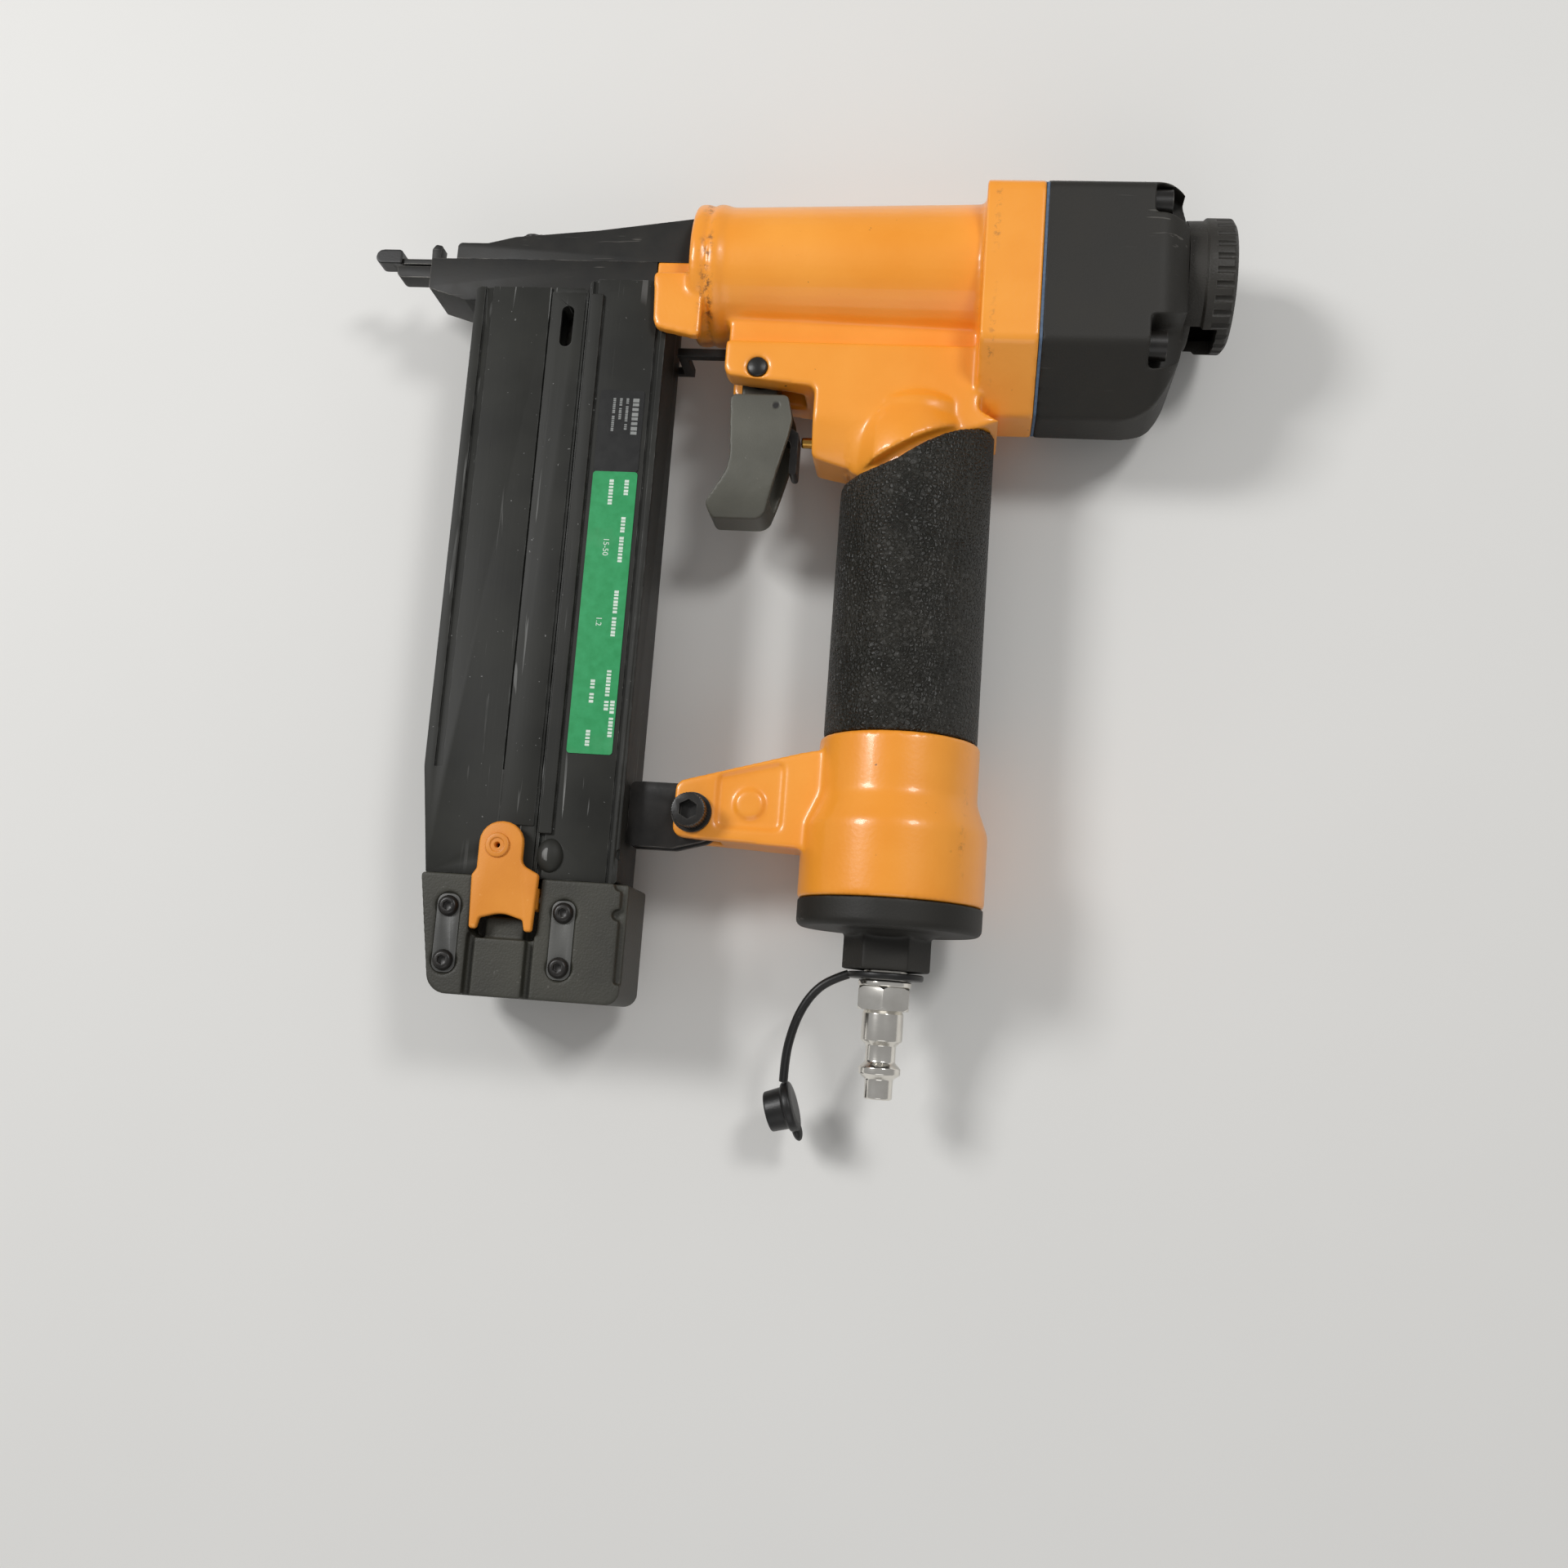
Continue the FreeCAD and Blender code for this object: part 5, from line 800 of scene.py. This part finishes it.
def ink_figure(text, x, y, height):
    """A figure that reads down the magazine."""
    bpy.ops.object.text_add(location=(0, 0, 0))
    item = bpy.context.object
    item.data.body = text
    item.data.size = height * MM * 1.4
    item.data.extrude = (INK_TOP - INK_FOOT) / 2 * MM
    item.data.align_x = "LEFT"
    item.data.align_y = "CENTER"
    only(item)
    bpy.ops.object.convert(target="MESH")
    item.rotation_euler = (0, 0, math.radians(-90))
    item.location = at(x, y, (INK_FOOT + INK_TOP) / 2)
    bpy.ops.object.transform_apply(location=True, rotation=True, scale=True)
    return item


HEADING, VALUE = -120.0, -124.6
SCALE_ROWS = [(HEADING, -71.0, 6), (HEADING, -82.5, 15), (HEADING, -105.0, 14),
              (HEADING, -128.0, 13), (VALUE, -71.0, 9), (VALUE, -132.0, 7),
              (-118.2, -138.0, 11), (VALUE, -147.0, 5)]
print_rows = [ink_row(x, y, letters, 1.3) for x, y, letters in SCALE_ROWS]
print_rows += [ink_figure("15-50", VALUE, -89.0, 1.7), ink_figure("1.2", VALUE, -113.0, 1.7)]
label_print = join("label_print", *print_rows)
dress(label_print, "tool", "label_green", "white_ink")

NAME_ROWS = [(-119.4, 9, 1.9), (-122.0, 16, 0.8), (-124.0, 11, 0.8), (-126.0, 18, 0.8)]
NAME_TOP = -45.5
name_print = join("name_print", *(ink_row(x, NAME_TOP, letters, height)
                                  for x, letters, height in NAME_ROWS))
dress(name_print, "tool", "label_black", "grey_ink")

# %% [markdown]
# ## Springs
# Each coil spring sits between the body that carries it and the piece it pushes.
# Its two ends are found along its axis, and the coil is a smooth-shaded copy of the frame's
# spring.

# %% Springs
LOW_END, HIGH_END = 0, 1
ALONG_X, ALONG_Y, ALONG_Z = range(3)
SPRINGS = {
    "head_valve_spring": ("tool", "head_valve", ALONG_X, HIGH_END),
    "valve_spring": ("tool", "valve_stem", ALONG_X, HIGH_END),
    "contact_arm_spring": ("tool", "contact_arm", ALONG_X, HIGH_END),
    "pusher_spring": ("magazine_slide", "pusher", ALONG_Y, LOW_END),
    "latch_spring": ("magazine_slide", "latch", ALONG_Z, LOW_END),
}
for name, (carrier, pushed, axis, seat_end) in SPRINGS.items():
    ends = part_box(name)
    seat, tip = ((Vector(ends[0]) + Vector(ends[1])) / 2 for _ in ends)
    seat[axis] = ends[seat_end][axis]
    tip[axis] = ends[1 - seat_end][axis]
    coil = shade(merged_copy(name, name.replace("spring", "coil")))
    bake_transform(coil)
    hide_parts(name)
    PIECES.append((coil, "spring_steel"))

# %% [markdown]
# ## Finishes
# Each finish is a material built from nodes. A small class wraps a socket, so
# that a sum of masks is written as plain Python, and one method adds every other
# kind of node. Colours are given as they look on a screen and changed to light.

# %% Shader maths


def tone(red, green, blue):
    """A colour from 0 to 255 as linear light."""
    def linear(value):
        value /= 255
        return value / 12.92 if value <= 0.04045 else ((value + 0.055) / 1.055) ** 2.4
    return (linear(red), linear(green), linear(blue), 1.0)


class Wire:
    """An output that can be used in a sum; each operator adds a Math node."""

    def __init__(self, finish, socket):
        self.finish = finish
        self.socket = socket

    def maths(self, operation, first, second):
        return self.finish.node("ShaderNodeMath", {"operation": operation, "use_clamp": False},
                                {0: first, 1: second})

    def __add__(self, other):
        return self.maths("ADD", self, other)

    def __mul__(self, other):
        return self.maths("MULTIPLY", self, other)

    def __sub__(self, other):
        return self.maths("SUBTRACT", self, other)

    def __rsub__(self, other):
        return self.maths("SUBTRACT", other, self)

    __radd__ = __add__
    __rmul__ = __mul__

    def between(self, low, high):
        """0 below low, 1 above high, and a straight ramp from one to the other."""
        return self.finish.node("ShaderNodeMapRange", {"clamp": True},
                                {"Value": self, "From Min": low, "From Max": high})


class Finish:
    """A material under construction, with its Principled shader."""

    def __init__(self, name, **fixed):
        self.material = bpy.data.materials.new(name)
        self.material.use_nodes = True
        self.nodes = self.material.node_tree.nodes
        self.links = self.material.node_tree.links
        self.shader = self.nodes["Principled BSDF"]
        for socket, value in fixed.items():
            self.shader.inputs[socket.replace("_", " ")].default_value = value
        self.place = self.node("ShaderNodeTexCoord", {}, {}, "Object")

    def node(self, kind, settings, values, output=0):
        """Adds a node: its settings first, then the value or link of each socket."""
        item = self.nodes.new(kind)
        for name, value in settings.items():
            setattr(item, name, value)
        for name, value in values.items():
            if isinstance(value, Wire):
                self.links.new(value.socket, item.inputs[name])
            else:
                item.inputs[name].default_value = value
        return Wire(self, item.outputs[output])

    def stretched(self, x, y, z):
        """The object's own coordinates, squeezed along some axes."""
        return self.node("ShaderNodeMapping", {}, {"Vector": self.place, "Scale": (x, y, z)})

    def noise(self, scale, detail=3.0, place=None, rough=0.5, twist=0.0):
        return self.node("ShaderNodeTexNoise", {},
                         {"Vector": place or self.place, "Scale": scale, "Detail": detail,
                          "Roughness": rough, "Distortion": twist}, "Fac")

    def cells(self, scale, feature="F1", place=None):
        return self.node("ShaderNodeTexVoronoi", {"feature": feature},
                         {"Vector": place or self.place, "Scale": scale}, "Distance")

    def blend(self, mask, under, over):
        """One colour over another by a mask."""
        return self.node("ShaderNodeMix", {"data_type": "RGBA", "clamp_factor": True},
                         {0: mask, 6: under, 7: over}, 2)

    def coordinate(self, axis):
        """How far along an axis a point is, in millimetres from the tool's own zero."""
        split = self.node("ShaderNodeSeparateXYZ", {}, {"Vector": self.place}, axis)
        return split * 1000 - HEAD_JOINT["XYZ".index(axis)] * 1000

    def worn_edges(self, reach, low=0.02, high=0.12):
        """A mask of the outer edges, where the surface turns within a reach in mm."""
        soft = self.node("ShaderNodeBevel", {"samples": 4}, {"Radius": reach * MM}, "Normal")
        flat = self.node("ShaderNodeNewGeometry", {}, {}, "Normal")
        same = self.node("ShaderNodeVectorMath", {"operation": "DOT_PRODUCT"},
                         {0: soft, 1: flat}, "Value")
        return (1.0 - same).between(low, high)

    def set(self, **links):
        for socket, wire in links.items():
            self.links.new(wire.socket, self.shader.inputs[socket.replace("_", " ")])

    def bump(self, height, distance, strength=1.0):
        """Relief: height is a mask, distance its depth in millimetres."""
        normal = self.node("ShaderNodeBump", {}, {"Height": height, "Strength": strength,
                                                  "Distance": distance * MM}, "Normal")
        self.links.new(normal.socket, self.shader.inputs["Normal"])


FINISHES = {}

# %% [markdown]
# ### Orange enamel
# Baked enamel on a casting: glossy but with the faint orange peel of sprayed
# paint, slightly deeper where it pooled, darkened in patches in the groove between
# the barrel's beads and at the foot of the flange step, and with a few chips and
# specks of grime from the workshop.

# %% Orange enamel
enamel = Finish("orange_enamel", IOR=1.5, Coat_Weight=0.35, Coat_Roughness=0.12)
peel = enamel.noise(900, 2.0)
clouds = enamel.noise(28, 4.0)
under = enamel.blend(clouds.between(0.35, 0.7), tone(243, 152, 40), tone(250, 164, 56))
x_place = enamel.coordinate("X")
# Patchy darkening in the groove between the beads and at the foot of the flange step.
groove_band = x_place.between(-103.5, -101.2) * (1.0 - x_place.between(-99.6, -98.0))
step_foot_band = x_place.between(-16.4, -15.4) * (1.0 - x_place.between(-14.6, -13.9))
fine_patches = enamel.noise(520, 4.0, rough=0.65).between(0.5, 0.62)
broad = enamel.noise(75, 3.0).between(0.42, 0.6)
mark_mask = groove_band * fine_patches * broad * 0.75 + step_foot_band * fine_patches * broad * 0.45
specks = enamel.noise(330, 2.0).between(0.735, 0.76) * enamel.noise(60, 1.0).between(0.5, 0.6)
colour_with_dark_patches = enamel.blend(mark_mask + specks * 0.8, under, tone(66, 42, 28))
enamel.set(Base_Color=colour_with_dark_patches, Roughness=0.3 + clouds * 0.1 + mark_mask * 0.3)
enamel.bump(peel, 0.035)
FINISHES["orange_enamel"] = enamel.material

# %% [markdown]
# ### Black paint on the cap
# The cap and the tank cap are painted with a dull black that has a fine grain,
# greyed in soft patches and scratched lighter where it has been set down.

# %% Cap enamel
paint = Finish("cap_enamel", IOR=1.48)
grain = paint.noise(1500, 3.0)
patches = paint.noise(38, 4.0)
dull = paint.blend(patches.between(0.35, 0.75), tone(24, 22, 17), tone(35, 32, 26))
scratches = paint.noise(700, 2.0, paint.stretched(0.06, 1.0, 0.5)).between(0.66, 0.7)
here = paint.noise(30, 2.0).between(0.55, 0.68)
edges = paint.worn_edges(0.7) * paint.noise(240, 3.0).between(0.5, 0.68)
worn = scratches * here * 0.3 + edges * 0.45
paint.set(Base_Color=paint.blend(worn, dull, tone(128, 124, 118)),
          Roughness=0.52 + patches * 0.16)
paint.bump(grain, 0.05)
FINISHES["cap_enamel"] = paint.material

# %% [markdown]
# ### Drawn section
# The magazine is extruded aluminium with a charcoal coat. Faint lines run the
# length of the draw, the coat has thin bright scratches, and its ridges are
# polished by handling.

# %% Drawn section
drawn = Finish("drawn_section", IOR=1.35)
lines = drawn.noise(900, 2.0, drawn.stretched(1.0, 0.012, 1.0))
fog = drawn.noise(45, 4.0)
coat = drawn.blend(fog.between(0.3, 0.75), tone(32, 32, 29), tone(45, 45, 41))
fine = drawn.noise(620, 1.5, drawn.stretched(1.0, 0.05, 1.0), twist=0.6).between(0.7, 0.73)
slant = drawn.node("ShaderNodeMapping", {}, {"Vector": drawn.place, "Rotation": (0, 0, 0.35),
                                            "Scale": (1.0, 0.03, 1.0)})
cross = drawn.noise(500, 1.0, slant, twist=0.3).between(0.715, 0.735)
where = drawn.noise(26, 2.0).between(0.5, 0.66)
ridges = drawn.worn_edges(0.5) * drawn.noise(180, 3.0).between(0.45, 0.7)
bare = fine * where * 0.5 + cross * where * 0.55 + ridges * 0.35
dust_spots = drawn.noise(850, 2.0).between(0.745, 0.77) * 0.5
drawn.set(Base_Color=drawn.blend(bare + dust_spots, coat, tone(150, 150, 148)),
          Roughness=0.44 + fog * 0.18, Metallic=bare * 0.5)
drawn.bump(lines + fine * -0.6, 0.02)
FINISHES["drawn_section"] = drawn.material

# %% [markdown]
# ### Moulded plastics
# The foot, the knob and the trigger are moulded with a sandblasted grain. One
# function makes them all, in different colours and gloss.

# %% Moulded plastics


def moulding(name, dark, light, rough, grain_height=0.04, wear=0.3, worn_tone=(140, 138, 132)):
    finish = Finish(name, IOR=1.46)
    grains = finish.cells(1900, "SMOOTH_F1")
    mottle = finish.noise(55, 4.0)
    body = finish.blend(mottle.between(0.3, 0.72), tone(*dark), tone(*light))
    mark_mask = finish.worn_edges(0.6) * finish.noise(210, 3.0).between(0.42, 0.7) * wear
    nicks = finish.noise(480, 2.0).between(0.72, 0.75) * wear * 0.6
    finish.set(Base_Color=finish.blend(mark_mask + nicks, body, tone(*worn_tone)),
               Roughness=rough + mottle * 0.14 - mark_mask * 0.1)
    finish.bump(grains, grain_height)
    FINISHES[name] = finish.material


moulding("moulded_black", (49, 48, 42), (63, 62, 54), 0.46, 0.06)
moulding("knob_moulding", (33, 31, 27), (46, 43, 38), 0.46, 0.06)
moulding("grey_moulding", (78, 77, 69), (92, 91, 82), 0.4, 0.03, 0.35, (150, 148, 138))
moulding("orange_moulding", (212, 129, 34), (226, 144, 48), 0.4, 0.02, 0.35, (250, 190, 110))
moulding("rubber_moulding", (18, 18, 18), (28, 27, 26), 0.32, 0.02, 0.15)
moulding("grey_strip", (72, 72, 70), (90, 90, 87), 0.4, 0.02, 0.3)
moulding("rivet_head", (206, 124, 34), (224, 142, 50), 0.34, 0.01, 0.6, (150, 140, 120))

# %% [markdown]
# ### Pebbled rubber
# The grip is moulded with a leather grain: rounded pebbles just under a
# millimetre across with fine creases between. Dust settles in the creases, so
# they are a little lighter than the rubber.

# %% Pebbled rubber
rubber = Finish("pebbled_rubber", IOR=1.45)
wander = rubber.node("ShaderNodeVectorMath", {"operation": "ADD"},
                     {0: rubber.place,
                      1: rubber.node("ShaderNodeVectorMath", {"operation": "SCALE"},
                                     {0: rubber.node("ShaderNodeTexNoise", {},
                                                     {"Vector": rubber.place, "Scale": 420.0,
                                                      "Detail": 2.0}, "Color"),
                                      "Scale": 0.0009})})
pebbles = rubber.cells(800, "DISTANCE_TO_EDGE", wander)
domes = pebbles.between(0.0, 0.32)
film = rubber.noise(60, 4.0)
skin = rubber.blend(film.between(0.35, 0.75), tone(28, 27, 22), tone(39, 37, 31))
crease = (1.0 - pebbles.between(0.0, 0.12)) * film.between(0.4, 0.8)
lint = rubber.noise(760, 2.0).between(0.735, 0.76) * 0.2
rubber.set(Base_Color=rubber.blend(crease * 0.14 + lint, skin, tone(128, 122, 114)),
           Roughness=0.4 + film * 0.14 + crease * 0.2)
rubber.bump(domes + rubber.noise(2600, 1.0) * 0.2, 0.42)
FINISHES["pebbled_rubber"] = rubber.material

# %% [markdown]
# ### Metals
# Blackened steel is dark with brown bloom and shines through at its worn edges.
# At the nose tip those edges also get a painted highlight.
# Plated, drawn and sprung metals share one function: a metal colour, cloudy
# roughness and fine lines left by the tool or the die.

# %% Blackened steel


def blackened(name, dark, light, rough, shine, tip_painted_highlight=0.0):
    finish = Finish(name, IOR=1.5)
    # Painted highlight: beyond x = -184 towards the nose tip, the edges are lit up as bright
    # lines.
    tip = 1.0 - finish.coordinate("X").between(-184.0, -179.0)
    bloom = finish.noise(140, 4.0)
    skin = finish.blend(bloom.between(0.35, 0.7), tone(*dark), tone(*light))
    scratch = finish.noise(900, 2.0, finish.stretched(0.08, 1.0, 1.0)).between(0.68, 0.72)
    lightening = finish.noise(260, 3.0).between(0.42, 0.62) * shine + tip * tip_painted_highlight
    bright = (finish.worn_edges(0.4) * lightening
              + scratch * finish.noise(60, 2.0).between(0.5, 0.7) * 0.35)
    finish.set(Base_Color=finish.blend(bright, skin, tone(150, 146, 140)),
               Metallic=bright * 0.8 + 0.1, Roughness=rough + bloom * 0.2 - bright * 0.12)
    finish.bump(finish.noise(1300, 2.0), 0.02)
    FINISHES[name] = finish.material


blackened("black_oxide", (20, 18, 16), (34, 31, 28), 0.28, 0.5)
# The nose steel carries a painted highlight on the edges of its tip.
blackened("nose_steel", (15, 14, 11), (27, 25, 20), 0.45, 0.45, 1.1)


def metal(name, dark, light, rough, line_depth=0.01, squeeze=(1.0, 1.0, 1.0)):
    finish = Finish(name, Metallic=1.0)
    haze = finish.noise(90, 4.0)
    lines = finish.noise(1600, 2.0, finish.stretched(*squeeze))
    finish.set(Base_Color=finish.blend(haze.between(0.3, 0.7), tone(*dark), tone(*light)),
               Roughness=rough + haze * 0.12 + lines * 0.06)
    finish.bump(lines, line_depth)
    FINISHES[name] = finish.material


metal("bright_plate", (226, 222, 214), (248, 245, 238), 0.1, 0.004, (0.1, 1.0, 0.1))
metal("valve_brass", (176, 132, 62), (206, 164, 88), 0.2, 0.01)
metal("cast_alloy", (150, 150, 152), (176, 176, 178), 0.34, 0.02)
metal("bright_steel", (158, 158, 160), (190, 190, 192), 0.22, 0.01)
metal("spring_steel", (112, 112, 116), (146, 146, 150), 0.28, 0.008)
metal("brad_wire", (150, 146, 138), (182, 178, 168), 0.3, 0.03, (0.05, 1.0, 1.0))

# %% [markdown]
# ### Paper, ink and fibre
# The stickers are glossy film over paper, and the gasket is pressed fibre with
# a cool tint. Ink is a plain colour with a slight mottle, as print has up close.

# %% Labels, ink and gasket


def film_finish(name, dark, light, rough, grit=420.0):
    finish = Finish(name, IOR=1.48)
    mottle = finish.noise(grit, 3.0)
    lightening = finish.noise(36, 4.0).between(0.6, 0.8) * 0.12
    finish.set(Base_Color=finish.blend(lightening, finish.blend(mottle.between(0.3, 0.7), tone(*dark),
                                                         tone(*light)), tone(190, 190, 180)),
               Roughness=rough + mottle * 0.1)
    finish.bump(mottle, 0.008)
    FINISHES[name] = finish.material


film_finish("label_green", (26, 140, 78), (36, 152, 90), 0.3)
film_finish("label_black", (8, 8, 8), (14, 14, 13), 0.28)
film_finish("white_ink", (196, 214, 200), (214, 226, 214), 0.35)
film_finish("grey_ink", (120, 122, 120), (140, 142, 140), 0.35)
film_finish("gasket_fibre", (74, 92, 116), (92, 110, 132), 0.7, 900.0)
film_finish("seal_rubber", (24, 24, 24), (34, 33, 33), 0.42, 700.0)

# %% [markdown]
# ### The floor
# Studio paper: pale, almost flat, with only enough mottle to look real.

# %% Floor
paper = Finish("studio_paper")
paper.set(Base_Color=paper.blend(paper.noise(9, 3.0), tone(222, 221, 218), tone(226, 225, 222)))
paper.shader.inputs["Roughness"].default_value = 0.85
floor.data.materials.append(paper.material)

# %% [markdown]
# Now each new piece takes its finish, and each frame piece that still shows
# takes the finish of its material slot.

# %% Give out the finishes
for item, finish in PIECES:
    item.data.materials.clear()
    item.data.materials.append(FINISHES[finish])

SLOT_FINISHES = {
    "orange_paint": "orange_enamel", "black_paint": "cap_enamel",
    "magazine_paint": "drawn_section", "black_plastic": "moulded_black",
    "grey_plastic": "grey_moulding", "grip_rubber": "pebbled_rubber",
    "seal_rubber": "seal_rubber", "strap_rubber": "rubber_moulding",
    "gasket_fibre": "gasket_fibre", "chrome_plate": "bright_plate",
    "black_steel": "black_oxide", "bright_steel": "bright_steel",
    "spring_steel": "spring_steel", "cast_alloy": "cast_alloy", "valve_brass": "valve_brass",
    "orange_plastic": "orange_moulding", "label_green": "label_green",
    "label_black": "label_black", "tip_plastic": "rubber_moulding", "brad_wire": "brad_wire",
}
for item in NODES.values():
    for place, old in enumerate(item.data.materials):
        item.data.materials[place] = FINISHES[SLOT_FINISHES[old.name]]
for name in ("trigger_lever", "lever_pin"):
    NODES[name].data.materials[0] = FINISHES["black_oxide"]
print("pieces", len(PIECES), "finishes", len(FINISHES))
